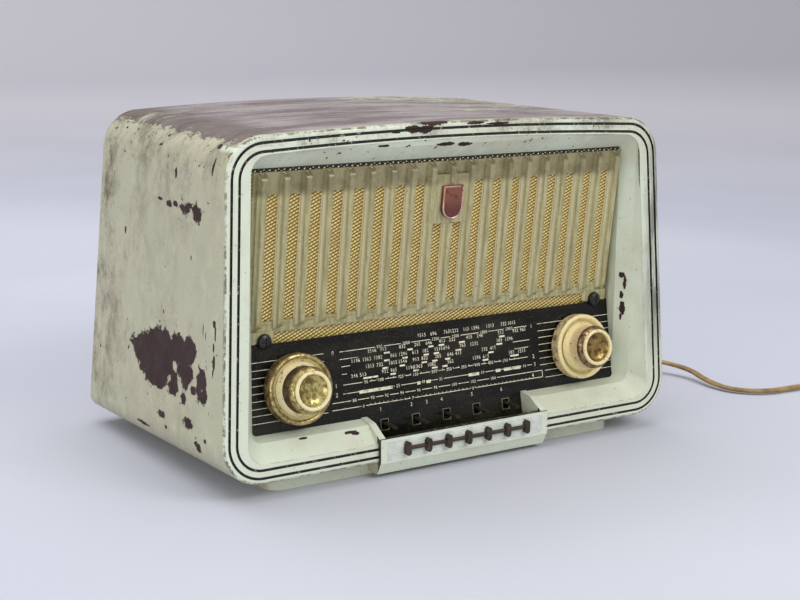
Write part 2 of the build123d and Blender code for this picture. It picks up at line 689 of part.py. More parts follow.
VALVE_PLACES = [(-60, 128), (-20, 172), (8, 128), (72, 186), (112, 152)]
VALVE_HEIGHTS = [64, 68, 52, 50, 54]
VALVE_RADIUS = 11.0
SOCKET_TOP = CHASSIS_TOP + 3.0

with BuildPart() as chassis:
    block(
        (-CHASSIS_HALF_WIDTH, CHASSIS_HALF_WIDTH),
        (CHASSIS_FRONT, CHASSIS_REAR),
        (CHASSIS_FOOT, CHASSIS_TOP),
    )
    block(
        (SHEET - CHASSIS_HALF_WIDTH, CHASSIS_HALF_WIDTH - SHEET),
        (CHASSIS_FRONT + SHEET, CHASSIS_REAR - SHEET),
        (CHASSIS_FOOT + SHEET, CHASSIS_TOP - SHEET),
        Mode.SUBTRACT,
    )
    block(
        (-104, 104),
        (CHASSIS_FRONT + 28, CHASSIS_REAR - 28),
        (CHASSIS_FOOT - 1, CHASSIS_FOOT + 3),
        Mode.SUBTRACT,
    )
    with BuildSketch(Plane.XY.offset(CHASSIS_FOOT - 1)) as foot_holes:
        with Locations(*BOTTOM_SCREWS):
            Circle(2.0)
    extrude(foot_holes.sketch, amount=3, mode=Mode.SUBTRACT)
    for x, depth in VALVE_PLACES:
        rod(9.0, (x, FRONT_Y + depth, CHASSIS_TOP), (0, 0, 1), -4, 2, Mode.SUBTRACT)
save(chassis, "chassis")

with BuildPart() as valve_sockets:
    for x, depth in VALVE_PLACES:
        place = (x, FRONT_Y + depth, CHASSIS_TOP)
        turned([(0, 0), (11.5, 0), (11.5, 3.0), (0, 3.0)], place, (0, 0, 1))
        rod(9.0, place, (0, 0, 1), -8, 0)
save(valve_sockets, "valve_sockets")

GLASS_WALL = 1.0
for index, ((x, depth), height) in enumerate(zip(VALVE_PLACES, VALVE_HEIGHTS), start=1):
    with BuildPart() as valve:
        shoulder = height - 9.0
        turned(
            [
                (0, 0), (VALVE_RADIUS, 0), (VALVE_RADIUS, shoulder), (7.5, height - 4.0),
                (2.4, height - 1.8), (1.0, height + 4.0), (0, height + 4.0), (0, height - 3.4),
                (6.8, height - 5.4), (VALVE_RADIUS - GLASS_WALL, shoulder - 0.6),
                (VALVE_RADIUS - GLASS_WALL, 2.5), (0, 2.5),
            ],
            (x, FRONT_Y + depth, SOCKET_TOP),
            (0, 0, 1),
        )
    save(valve, f"valve_{index}")

with BuildPart() as valve_electrodes:
    for (x, depth), height in zip(VALVE_PLACES, VALVE_HEIGHTS):
        place = (x, FRONT_Y + depth, SOCKET_TOP)
        rod(0.8, place, (0, 0, 1), 2.5, 9.0)
        rod(8.6, place, (0, 0, 1), 9.0, 10.0)
        rod(6.6, place, (0, 0, 1), 10.0, height - 14.0)
        rod(8.6, place, (0, 0, 1), height - 14.0, height - 13.0)
save(valve_electrodes, "valve_electrodes")

# a screw from below and a spacing washer between the cabinet and the chassis at each corner
with BuildPart() as chassis_fixings:
    for x, y in BOTTOM_SCREWS:
        head = [(0, 8.4), (3.6, 8.4), (4.2, 9.2), (4.2, 11.0)]
        thread = [(2.0, 11.0), (2.0, 22.0), (0, 22.0)]
        turned(head + thread, (x, y, 0), (0, 0, 1))
        turned([(2.4, 0), (7, 0), (7, 2.0), (2.4, 2.0)], (x, y, CHASSIS_FOOT - 2.0), (0, 0, 1))
        with Locations((x, y, 8.6)):
            Box(7.0, 1.2, 1.4, mode=Mode.SUBTRACT)
save(chassis_fixings, "chassis_fixings")

# ---------------------------------------------------------------- transformers, cans and capacitor

with BuildPart() as mains_transformer:
    block((-144, -80), (146, 186), (CHASSIS_TOP, 102))
    block((-135, -89), (138, 194), (56, 92))
save(mains_transformer, "mains_transformer")

with BuildPart() as output_transformer:
    block((-140, -104), (74, 104), (CHASSIS_TOP, 78))
    block((-134, -110), (69, 109), (53, 71))
save(output_transformer, "output_transformer")

with BuildPart() as smoothing_capacitor:
    turned(
        [(0, 0), (17, 0), (17, 1.5), (15.6, 1.5), (15.6, 66), (14.4, 67.5), (0, 67.5)],
        (-62, FRONT_Y + 176, CHASSIS_TOP),
        (0, 0, 1),
    )
save(smoothing_capacitor, "smoothing_capacitor")

with BuildPart() as if_transformer_cans:
    with BuildSketch(Plane.XY.offset(CHASSIS_TOP)) as cans:
        with Locations((26, FRONT_Y + 186), (-26, FRONT_Y + 124)):
            RectangleRounded(24, 24, 3)
    extrude(cans.sketch, amount=52)
    chamfer(if_transformer_cans.faces().group_by(Axis.Z)[-1].edges(), 1.0)
save(if_transformer_cans, "if_transformer_cans")

# ---------------------------------------------------------------- tuning capacitor and its drum

GANG_X = (38.0, 82.0)
GANG_DEPTH = (70.0, 118.0)
GANG_END = 2.0
VANE = 0.6
VANE_PITCH = 5.0
VANE_COUNT = 7
SHAFT_CENTRE = (DRUM_X, FRONT_Y, DRUM_Z)

with BuildPart() as gang_frame:
    for start in (GANG_DEPTH[0], GANG_DEPTH[1] - GANG_END):
        block(GANG_X, (start, start + GANG_END), (CHASSIS_TOP, 124))
    block(GANG_X, GANG_DEPTH, (76, 78))
    rod(SHAFT_RADIUS + RUNNING, SHAFT_CENTRE, (0, 1, 0), 60, 125, Mode.SUBTRACT)
    block((GANG_X[0], GANG_X[0] + 3), GANG_DEPTH, (DRUM_Z - 4, DRUM_Z + 4))
    for vane in range(VANE_COUNT):
        depth = 78.0 + vane * VANE_PITCH
        block((GANG_X[0] + 1, DRUM_X - 4.5), (depth, depth + VANE), (82, 119))
save(gang_frame, "gang_frame")

with BuildPart() as gang_rotor:
    rod(SHAFT_RADIUS, SHAFT_CENTRE, (0, 1, 0), 55.0, 118.5)
    for vane in range(VANE_COUNT - 1):
        depth = 78.0 + (vane + 0.5) * VANE_PITCH
        with BuildSketch(at_depth(depth + VANE)) as half_disc:
            with Locations((DRUM_X, DRUM_Z)):
                Circle(16.5)
                with Locations((20, 0)):
                    Rectangle(40, 40, mode=Mode.SUBTRACT)
                Circle(4.2)
        extrude(half_disc.sketch, amount=VANE)
save(gang_rotor, "gang_rotor")

with BuildPart() as drive_drum:
    turned(
        [
            (SHAFT_RADIUS, 56.0), (8, 56.0), (8, 58.6), (46, 58.6), (46, 57.0), (DRUM_RADIUS, 57.0),
            (48.6, 59.0), (48.6, 61.0), (DRUM_RADIUS, 63.0), (46, 63.0), (46, 60.6), (8, 60.6),
            (8, 64.0), (SHAFT_RADIUS, 64.0),
        ],
        SHAFT_CENTRE,
        (0, 1, 0),
    )
    with BuildSketch(at_depth(66)) as windows:
        with Locations((DRUM_X, DRUM_Z)):
            with PolarLocations(27, 5):
                Circle(10)
    extrude(windows.sketch, amount=12, mode=Mode.SUBTRACT)
save(drive_drum, "drive_drum")

# ---------------------------------------------------------------- turning ferrite aerial

MAST = (40.0, FRONT_Y + 150.0, CHASSIS_TOP)
MAST_TOP = 201.0
MAST_HEIGHT = MAST_TOP - CHASSIS_TOP
AERIAL_Z = 212.5
with BuildPart() as aerial_mast:
    turned([(0, 0), (10, 0), (10, 2), (5, 5), (5, MAST_HEIGHT), (0, MAST_HEIGHT)], MAST, (0, 0, 1))
    rod(SHAFT_RADIUS + RUNNING, MAST, (0, 0, 1), MAST_HEIGHT - 14, MAST_HEIGHT, Mode.SUBTRACT)
save(aerial_mast, "aerial_mast")

with BuildPart() as aerial_holder:
    rod(SHAFT_RADIUS, (MAST[0], MAST[1], 0), (0, 0, 1), MAST_TOP - 13, MAST_TOP + 1)
    rod(8.0, (MAST[0], MAST[1], 0), (0, 0, 1), MAST_TOP + 0.4, MAST_TOP + 3)
    with Locations((MAST[0], MAST[1], AERIAL_Z - 4.2)):
        Box(34, 13, 10)
    rod(5.0, (MAST[0], MAST[1], AERIAL_Z), (1, 0, 0), -20, 20, Mode.SUBTRACT)
save(aerial_holder, "aerial_holder")

with BuildPart() as ferrite_rod:
    rod(5.0, (MAST[0], MAST[1], AERIAL_Z), (1, 0, 0), -60, 60)
    rod(6.6, (MAST[0], MAST[1], AERIAL_Z), (1, 0, 0), 22, 50)
    rod(6.6, (MAST[0], MAST[1], AERIAL_Z), (1, 0, 0), -50, -28)
save(ferrite_rod, "ferrite_rod")

# ---------------------------------------------------------------- rear panel pieces

SOCKET_Z = 32.0
SOCKET_XS = [30.0, 46.0, 66.0, 82.0]
SOCKET_BORE = 2.05
SOCKET_LENGTH = 12.0
with BuildPart() as aerial_earth_sockets:
    block((20, 92), (CHASSIS_REAR, CHASSIS_REAR + 2), (23, 41))
    for x in SOCKET_XS:
        place = (x, FRONT_Y + CHASSIS_REAR, SOCKET_Z)
        rod(3.6, place, (0, 1, 0), 0, SOCKET_LENGTH)
        rod(SOCKET_BORE, place, (0, 1, 0), 0, SOCKET_LENGTH, Mode.SUBTRACT)
save(aerial_earth_sockets, "aerial_earth_sockets")

with BuildPart() as voltage_selector:
    body_profile = [(0, 0), (14, 0), (14, 3), (11, 8), (0, 8)]
    turned(body_profile, (-34, FRONT_Y + CHASSIS_REAR, SOCKET_Z), (0, 1, 0))
    block(
        (-44, -24),
        (CHASSIS_REAR + 6.5, CHASSIS_REAR + 9),
        (SOCKET_Z - 1, SOCKET_Z + 1),
        Mode.SUBTRACT,
    )
save(voltage_selector, "voltage_selector")

COVER_GAP = 0.3
with BuildPart() as rear_cover:
    extrude(rear_face(REAR_DEPTH, COVER_INSET + COVER_GAP, 20.0, 20.0), amount=COVER)
    with BuildSketch(at_depth(REAR_DEPTH + 1)) as cuts:
        with Locations((0, 160)):
            with GridLocations(20, 24, 13, 4):
                SlotOverall(17, 5, rotation=90)
        with Locations((0, 66)):
            with GridLocations(20, 20, 13, 1):
                SlotOverall(15, 5, rotation=90)
        with Locations((56, SOCKET_Z)):
            RectangleRounded(80, 22, 3)
        with Locations((-34, SOCKET_Z)):
            Circle(16)
        with Locations((GLAND_X, GLAND_Z)):
            Circle(7)
        with Locations(*COVER_SCREWS):
            Circle(1.7)
    extrude(cuts.sketch, amount=6, mode=Mode.SUBTRACT)
save(rear_cover, "rear_cover")

with BuildPart() as cover_screws:
    for x, z in COVER_SCREWS:
        turned(
            [
                (0, REAR_DEPTH - 12), (1.6, REAR_DEPTH - 12), (1.6, REAR_DEPTH), (4.0, REAR_DEPTH),
                (3.6, REAR_DEPTH + 1.2), (2.0, REAR_DEPTH + SCREW_HEAD), (0, REAR_DEPTH + SCREW_HEAD),
            ],
            (x, FRONT_Y, z),
            (0, 1, 0),
        )
        with Locations((x, FRONT_Y + REAR_DEPTH + SCREW_HEAD, z)):
            Box(5.2, 1.2, 0.9, mode=Mode.SUBTRACT)
save(cover_screws, "cover_screws")

# ---------------------------------------------------------------- mains lead

GLAND = (GLAND_X, FRONT_Y + REAR_DEPTH, GLAND_Z)
GLAND_END = 1.5 + GLAND_LENGTH
with BuildPart() as cord_gland:
    turned(
        [
            (0, -COVER - 3), (8.5, -COVER - 3), (8.5, -COVER), (7.0, -COVER), (7.0, 0), (9.0, 0),
            (9.0, 2.0), (6.4, 3.0), (3.4, GLAND_END), (0, GLAND_END),
        ],
        GLAND,
        (0, 1, 0),
    )
save(cord_gland, "cord_gland")


def on_plan(x, depth, height):
    """Point of the lead's route."""
    return (x, FRONT_Y + depth, height)


# The lead leaves the gland backwards, swings round the rear corner and comes down to the table.
CORD_ROUTE = [
    on_plan(GLAND_X, REAR_DEPTH + GLAND_END, GLAND_Z),
    on_plan(GLAND_X, 285.0, GLAND_Z),
    on_plan(138.0, 308.0, 35.0),
    on_plan(169.0, 309.0, 28.0),
    on_plan(195.0, 285.0, 22.0),
    on_plan(213.0, 246.0, 17.5),
    on_plan(231.0, 202.0, 14.5),
    on_plan(254.0, 160.0, 12.3),
    on_plan(277.0, 123.0, 10.6),
    on_plan(291.5, 92.0, 8.0),
    on_plan(285.8, 64.0, 4.2),
    on_plan(286.5, 38.0, 2.9),
    on_plan(306.0, 19.5, 2.8),
    on_plan(334.0, 17.2, 2.8),
    on_plan(362.0, 15.5, 2.8),
]
COIL_CENTRE = (376.0, FRONT_Y - 20.5)
COIL_RADII = (24.5, 30.0, 35.5)
COIL_LAYERS = 2
COIL_HEIGHT = COIL_LAYERS * CORD_DIAMETER
TAIL_ROUTE = [
    on_plan(356.0, -56.3, 7.8),
    on_plan(338.0, -58.5, 7.1),
    on_plan(321.0, -66.0, 7.1),
]
PLUG_SIZE = (34.0, 30.0, 14.0)


def corner_radii(points, share=0.45):
    """Radius of each corner: a share of its shorter run over the tangent of half the turn."""
    vectors = [Vector(*end) - Vector(*start) for start, end in zip(points, points[1:])]
    radii = []
    for before, after in zip(vectors, vectors[1:]):
        half_turn = radians(before.get_angle(after)) / 2
        radii.append(share * min(before.length, after.length) / tan(half_turn))
    return radii


def lead(points):
    """Round lead of straight runs joined by tangent arcs; prints its radii and its length."""
    radii = corner_radii(points)
    with BuildLine() as path:
        FilletPolyline(*points, radius=radii)
    route = path.wires()[0]
    with BuildSketch(Plane(origin=route @ 0, z_dir=route % 0)) as section:
        Circle(CORD_DIAMETER / 2)
    sweep(section.sketch, path=route)
    print("lead radii", [round(radius, 1) for radius in radii], "length", round(route.length, 1))
    return route.length


with BuildPart() as mains_cord:
    cord_length = lead(CORD_ROUTE)
CORD_AREA = pi * (CORD_DIAMETER / 2) ** 2
print("lead volume", mains_cord.part.volume, "expected", CORD_AREA * cord_length)
save(mains_cord, "mains_cord")

with BuildPart() as cord_tail:
    tail_length = lead(TAIL_ROUTE)
print("tail volume", cord_tail.part.volume, "expected", CORD_AREA * tail_length)
save(cord_tail, "cord_tail")

with BuildPart() as cord_coil:
    outer = COIL_RADII[-1] + CORD_DIAMETER / 2
    inner = COIL_RADII[0] - CORD_DIAMETER / 2
    turned(
        [(inner, 0), (outer, 0), (outer, COIL_HEIGHT), (inner, COIL_HEIGHT)],
        (*COIL_CENTRE, 0),
        (0, 0, 1),
    )
save(cord_coil, "cord_coil")
coil_length = COIL_LAYERS * sum(2 * pi * radius for radius in COIL_RADII)
print("whole lead", round(cord_length + tail_length + coil_length, 0))

PLUG_END = Vector(*TAIL_ROUTE[-1])
PLUG_WAY = (PLUG_END - Vector(*TAIL_ROUTE[-2])).normalized()
PLUG_FLAT = Vector(PLUG_WAY.X, PLUG_WAY.Y, 0).normalized()
with BuildPart() as cord_plug:
    plug_plane = Plane(origin=(PLUG_END.X, PLUG_END.Y, 0), x_dir=PLUG_FLAT, z_dir=(0, 0, 1))
    with BuildSketch(plug_plane.offset(0.1)) as body:
        with Locations((PLUG_SIZE[0] / 2, 0)):
            RectangleRounded(PLUG_SIZE[0], PLUG_SIZE[1], 6)
    extrude(body.sketch, amount=PLUG_SIZE[2])
    fillet(cord_plug.edges().filter_by(Axis.Z, reverse=True).group_by(Axis.Z)[-1], 3.0)
    for offset in (-9.5, 9.5):
        pin = plug_plane.from_local_coords((PLUG_SIZE[0], offset, 7.1))
        rod(2.0, pin, PLUG_FLAT, -1, 19)
save(cord_plug, "cord_plug")
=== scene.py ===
from math import cos, floor as floor_of, hypot, pi, radians, sin

import bmesh
import bpy
from mathutils import Matrix, Vector


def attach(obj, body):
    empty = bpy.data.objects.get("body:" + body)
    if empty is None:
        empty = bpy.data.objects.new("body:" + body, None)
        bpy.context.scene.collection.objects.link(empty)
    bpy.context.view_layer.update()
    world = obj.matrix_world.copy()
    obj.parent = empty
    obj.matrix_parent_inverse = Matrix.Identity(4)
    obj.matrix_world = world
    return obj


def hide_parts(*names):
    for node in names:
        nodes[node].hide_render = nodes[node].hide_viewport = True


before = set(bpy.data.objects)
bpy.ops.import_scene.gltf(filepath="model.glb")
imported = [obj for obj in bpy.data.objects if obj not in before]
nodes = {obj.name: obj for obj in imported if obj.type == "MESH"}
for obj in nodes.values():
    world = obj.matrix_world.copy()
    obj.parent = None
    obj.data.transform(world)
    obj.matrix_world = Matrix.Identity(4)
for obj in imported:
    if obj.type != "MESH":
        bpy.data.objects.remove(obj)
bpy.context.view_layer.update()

# Millimetres throughout, turned into metres where a mesh is made. The same frame as the CAD.
MM = 0.001
FRONT_Y = -111.25


def place(x, depth, z):
    """Point in metres from X, the distance behind the foot of the front frame, and the height."""
    return Vector((x, FRONT_Y + depth, z)) * MM


class Plane:
    """A leaning plane of the front: local x is X, local y runs up it, local z stands out of it."""

    def __init__(self, depth, z, normal):
        self.origin = Vector((0, FRONT_Y + depth, z))
        self.x = Vector((1, 0, 0))
        self.z = Vector(normal).normalized()
        self.y = self.z.cross(self.x)

    def at(self, x, up, out=0.0):
        return (self.origin + self.x * x + self.y * up + self.z * out) * MM


FRAME = Plane(0, 11.0, (0, -1, 0.05))
DIAL = Plane(23.0, 35.8, (0, -1, 0.1684))
GRILLE = Plane(36.0, 100.0, (0, -1, -0.1204))


def link(thing):
    bpy.context.scene.collection.objects.link(thing)


def mesh_of(curve):
    """Mesh of a curve or a text."""
    holder = bpy.data.objects.new("holder", curve)
    link(holder)
    mesh = bpy.data.meshes.new_from_object(holder)
    bpy.data.objects.remove(holder)
    return mesh


# ------------------------ camera, floor and light


def look(position, yaw, pitch, roll, focal):
    """Camera at a point in millimetres; yaw from +Y towards +X, pitch downwards, in degrees."""
    yaw, pitch, roll = radians(yaw), radians(pitch), radians(roll)
    ahead = Vector((sin(yaw) * cos(pitch), cos(yaw) * cos(pitch), -sin(pitch)))
    right = Vector((cos(yaw), -sin(yaw), 0))
    up = right.cross(ahead)
    side = right * cos(roll) + up * sin(roll)
    top = up * cos(roll) - right * sin(roll)
    data = bpy.data.cameras.new("camera")
    data.lens = focal
    data.sensor_width = 36.0
    data.clip_start = 0.01
    data.clip_end = 50
    camera = bpy.data.objects.new("camera", data)
    camera.matrix_world = Matrix.Translation(Vector(position) * MM) @ (
        Matrix((side, top, -ahead)).transposed().to_4x4()
    )
    link(camera)
    bpy.context.scene.camera = camera


look(position=(-553.4, -896.25, 314.4), yaw=32.51, pitch=11.86, roll=0.55, focal=66.326)


def area_light(name, position, target, size, power, colour):
    """Rectangular light that the camera doesn't see."""
    data = bpy.data.lights.new(name, "AREA")
    data.shape = "RECTANGLE"
    data.size, data.size_y = size
    data.energy = power
    data.color = colour
    light = bpy.data.objects.new(name, data)
    light.location = position
    light.rotation_euler = (Vector(target) - Vector(position)).to_track_quat("-Z", "Y").to_euler()
    link(light)
    light.visible_camera = False


# name, position, target, size, power in watts and colour; metres
LIGHTS = [
    ("key", (0.6, -1.5, 1.4), (0, 0, 0.1), (1.0, 0.8), 16, (1.0, 0.99, 0.95)),
    ("ceiling", (-0.1, 0.3, 2.0), (0, 0, 0), (2.2, 1.8), 19, (0.98, 0.98, 1.0)),
    ("side_fill", (-2.0, -0.4, 0.9), (0, 0, 0.1), (1.3, 1.3), 7, (1.0, 0.97, 0.89)),
    ("front_left", (-1.5, -1.7, 0.5), (0, -0.08, 0.12), (0.9, 0.9), 9, (1.0, 0.98, 0.92)),
    ("rear_top", (-0.5, 1.05, 1.5), (-0.1, 0, 0.2), (1.5, 0.6), 7, (1.0, 1.0, 1.0)),
    ("wall_wash", (0, 2.4, 2.8), (0, 5.0, 0.4), (5.0, 0.8), 12, (1.0, 0.99, 0.98)),
    ("floor_wash", (0, 2.2, 2.9), (0, 3.2, 0.0), (5.0, 1.6), 11, (0.98, 0.98, 1.0)),
]
for entry in LIGHTS:
    area_light(*entry)

world = bpy.data.worlds.new("studio")
world.use_nodes = True
background = world.node_tree.nodes["Background"]
background.inputs["Color"].default_value = (0.84, 0.83, 0.87, 1)
background.inputs["Strength"].default_value = 0.56
bpy.context.scene.world = world
bpy.context.scene.view_settings.view_transform = "Standard"

# ------------------------ materials


def srgb(red, green, blue):
    """Linear colour from eight-bit display values."""
    channels = []
    for value in (red, green, blue):
        value /= 255
        channels.append(value / 12.92 if value < 0.04045 else ((value + 0.055) / 1.055) ** 2.4)
    return (*channels, 1.0)


class Shader:
    """A material's node tree, with one method for each kind of node that is used here."""

    def __init__(self, name):
        self.material = bpy.data.materials.new(name)
        self.material.use_nodes = True
        self.tree = self.material.node_tree
        self.surface = self.tree.nodes["Principled BSDF"]
        self.coordinates = self.tree.nodes.new("ShaderNodeTexCoord").outputs["Object"]

    def put(self, socket, value):
        if isinstance(value, bpy.types.NodeSocket):
            self.tree.links.new(value, socket)
        elif value is not None:
            socket.default_value = value

    def math(self, operation, *values, clamp=False):
        node = self.tree.nodes.new("ShaderNodeMath")
        node.operation = operation
        node.use_clamp = clamp
        for socket, value in zip(node.inputs, values):
            self.put(socket, value)
        return node.outputs[0]

    def times(self, first, second, clamp=False):
        return self.math("MULTIPLY", first, second, clamp=clamp)

    def plus(self, first, second):
        return self.math("ADD", first, second)

    def minus(self, first, second):
        return self.math("SUBTRACT", first, second)

    def larger(self, first, second):
        return self.math("MAXIMUM", first, second)

    def size(self, value):
        return self.math("ABSOLUTE", value)

    def inverse(self, value):
        return self.math("SUBTRACT", 1.0, value)

    def vector(self, operation, *values):
        node = self.tree.nodes.new("ShaderNodeVectorMath")
        node.operation = operation
        for socket, value in zip(node.inputs, values):
            self.put(socket, value)
        return node.outputs["Value" if operation in ("LENGTH", "DOT_PRODUCT") else "Vector"]

    def axes(self, vector=None):
        node = self.tree.nodes.new("ShaderNodeSeparateXYZ")
        self.put(node.inputs[0], vector or self.coordinates)
        return node.outputs

    def normal(self):
        return self.tree.nodes.new("ShaderNodeNewGeometry").outputs["True Normal"]

    def off(self, plane):
        """Distance out of a plane."""
        away = self.vector("SUBTRACT", self.coordinates, plane.origin * MM)
        return self.vector("DOT_PRODUCT", away, plane.z)

    def noise(self, scale, detail=4.0, roughness=0.55, stretch=None, seed=0.0):
        """Noise of so many features a metre; stretch multiplies the coordinates along each axis."""
        vector = self.coordinates
        if stretch or seed:
            vector = self.vector("MULTIPLY", vector, stretch or (1, 1, 1))
            vector = self.vector("ADD", vector, (seed, seed * 1.7, seed * 0.6))
        node = self.tree.nodes.new("ShaderNodeTexNoise")
        self.put(node.inputs["Vector"], vector)
        self.put(node.inputs["Scale"], scale)
        self.put(node.inputs["Detail"], detail)
        self.put(node.inputs["Roughness"], roughness)
        return node.outputs[0]

    def step(self, value, low, high, bottom=0.0, top=1.0):
        """Rises smoothly from bottom to top while value goes from low to high."""
        node = self.tree.nodes.new("ShaderNodeMapRange")
        node.interpolation_type = "SMOOTHSTEP"
        for socket, entry in zip(node.inputs, (value, low, high, bottom, top)):
            self.put(socket, entry)
        return node.outputs[0]

    def mix(self, share, first, second):
        node = self.tree.nodes.new("ShaderNodeMix")
        node.data_type = "RGBA"
        self.put(node.inputs[0], share)
        self.put(node.inputs[6], first)
        self.put(node.inputs[7], second)
        return node.outputs[2]

    def ovals(self, places):
        """Distance to the nearest of several ellipsoids (centre, radii), 1 at their edges."""
        nearest = None
        for centre, radii in places:
            away = self.vector("SUBTRACT", self.coordinates, [c * MM for c in centre])
            away = self.vector("MULTIPLY", away, [1 / (r * MM) if r else 0 for r in radii])
            distance = self.vector("LENGTH", away)
            nearest = self.math("MINIMUM", nearest, distance) if nearest else distance
        return nearest

    def patches(self, shapes):
        """Millimetres outside the nearest of several convex shapes of (depth, height) corners."""
        nearest = None
        for corners in shapes:
            middle = [sum(corner[k] for corner in corners) / len(corners) for k in (0, 1)]
            outside = None
            for (a, b), (c, d) in zip(corners, corners[1:] + corners[:1]):
                across, along = (d - b) / hypot(c - a, d - b), (a - c) / hypot(c - a, d - b)
                if across * (middle[0] - a) + along * (middle[1] - b) > 0:
                    across, along = -across, -along
                away = self.vector("DOT_PRODUCT", self.coordinates, (0, across / MM, along / MM))
                away = self.math("SUBTRACT", away, across * (FRONT_Y + a) + along * b)
                outside = self.math("MAXIMUM", outside, away) if outside else away
            nearest = self.math("MINIMUM", nearest, outside) if nearest else outside
        return nearest

    def bump(self, height, distance, strength=1.0):
        node = self.tree.nodes.new("ShaderNodeBump")
        self.put(node.inputs["Height"], height)
        self.put(node.inputs["Distance"], distance * MM)
        self.put(node.inputs["Strength"], strength)
        previous = self.surface.inputs["Normal"]
        if previous.is_linked:
            self.put(node.inputs["Normal"], previous.links[0].from_socket)
        self.put(previous, node.outputs[0])

    def done(self, **inputs):
        """Sets the surface's inputs by name, with underscores for spaces."""
        for name, value in inputs.items():
            self.put(self.surface.inputs[name.replace("_", " ")], value)
        return self.material


# The side's and the front's paint, with painted light in them: the side's is darker and the front's lighter,
# as the front is lit more.
SIDE_PAINT_AND_SHADE = srgb(181, 181, 154)
FRONT_PAINT_AND_LIGHT = srgb(214, 223, 204)
GRIME = srgb(104, 96, 72)

# Where the paint has flaked off the left side, as the (depth, height) corners of convex patches.
SIDE_CHIPS = [
    [(152, 75), (142, 83), (101, 95), (82, 94), (77, 68), (97, 55), (118, 53), (132, 60)],
    [(94, 92), (69, 97), (53, 96), (44, 95), (43, 87), (48, 81), (58, 77), (92, 74)],
    [(73, 79), (52, 80), (48, 74), (55, 65), (59, 60), (63, 63), (71, 69)],
    [(84, 70), (72, 69), (70, 61), (74, 55), (83, 55), (86, 60)],
    [(43, 75), (39, 81), (30, 79), (27.5, 71), (41, 64)],
    [(43, 66), (27.5, 71), (26.5, 61), (33, 56), (38, 59)],
    [(78, 178), (73, 180), (68, 180), (62, 178), (66, 175), (72, 173)],
    [(64, 180), (54, 184), (49, 182), (41, 179), (42, 176), (49, 171), (54, 170), (58, 175)],
]
# Smaller ones: on the side as (y, z, half length, half height), on the front as (centre, radii), where a
# radius of 0 leaves that axis free.
SIDE_SPOTS = [
    (-50, 56, 4, 4), (-64, 64.5, 4, 3), (-16, 37.5, 6, 2.4), (-58, 41.5, 7.5, 3.8), (15, 23.4, 10, 1.5),
    (-76, 106, 0.6, 4), (-80, 103, 0.5, 3), (-72, 29.5, 4.5, 4), (-84, 36.5, 2, 1.6), (-24, 30.7, 2, 1.3),
    (0, 179.2, 4.6, 1), (-15.5, 177.8, 5, 2.3), (-26, 178.8, 3.8, 1.9), (-25, 199, 2, 3.6),
    (-82, 208, 1.6, 5), (-77, 220, 2.6, 1.4), (60, 150, 1.6, 2.4), (-54, 148, 1, 1.6),
]
FRONT_SPOTS = [
    ((-36, 0, 227.2), (7, 0, 2.4)), ((-28, 0, 227), (6, 0, 2.6)), ((-22, 0, 231), (9, 0, 1.9)),
    ((-15, 0, 231.4), (6, 0, 1.6)), ((-50, 0, 225.8), (3, 0, 0.8)), ((12, 0, 229.6), (7, 0, 1)),
    ((30, 0, 228.6), (9, 0, 0.8)), ((-10, 8, 216.3), (7, 0, 1.3)), ((5, 8, 215.6), (5, 0, 1.6)),
    ((-58, 0, 217.4), (4.5, 0, 0.9)), ((-139, 0, 218), (1.6, 0, 0.7)), ((-136, 0, 41), (3, 0, 2.2)),
    ((-84, 0, 32.0), (5, 0, 0.7)), ((-80, 0, 31.0), (3, 0, 0.8)), ((-118, 0, 33.0), (3, 0, 0.5)),
    ((151, -92, 113), (0, 2.2, 2.2)), ((151, -94, 107), (0, 1.1, 5)), ((151, -92, 98), (0, 1.3, 3)),
    ((151, -93, 88), (0, 1.8, 5)), ((151, -92, 82), (0, 0.9, 3)), ((96, -90, 37), (12, 3, 1)),
]


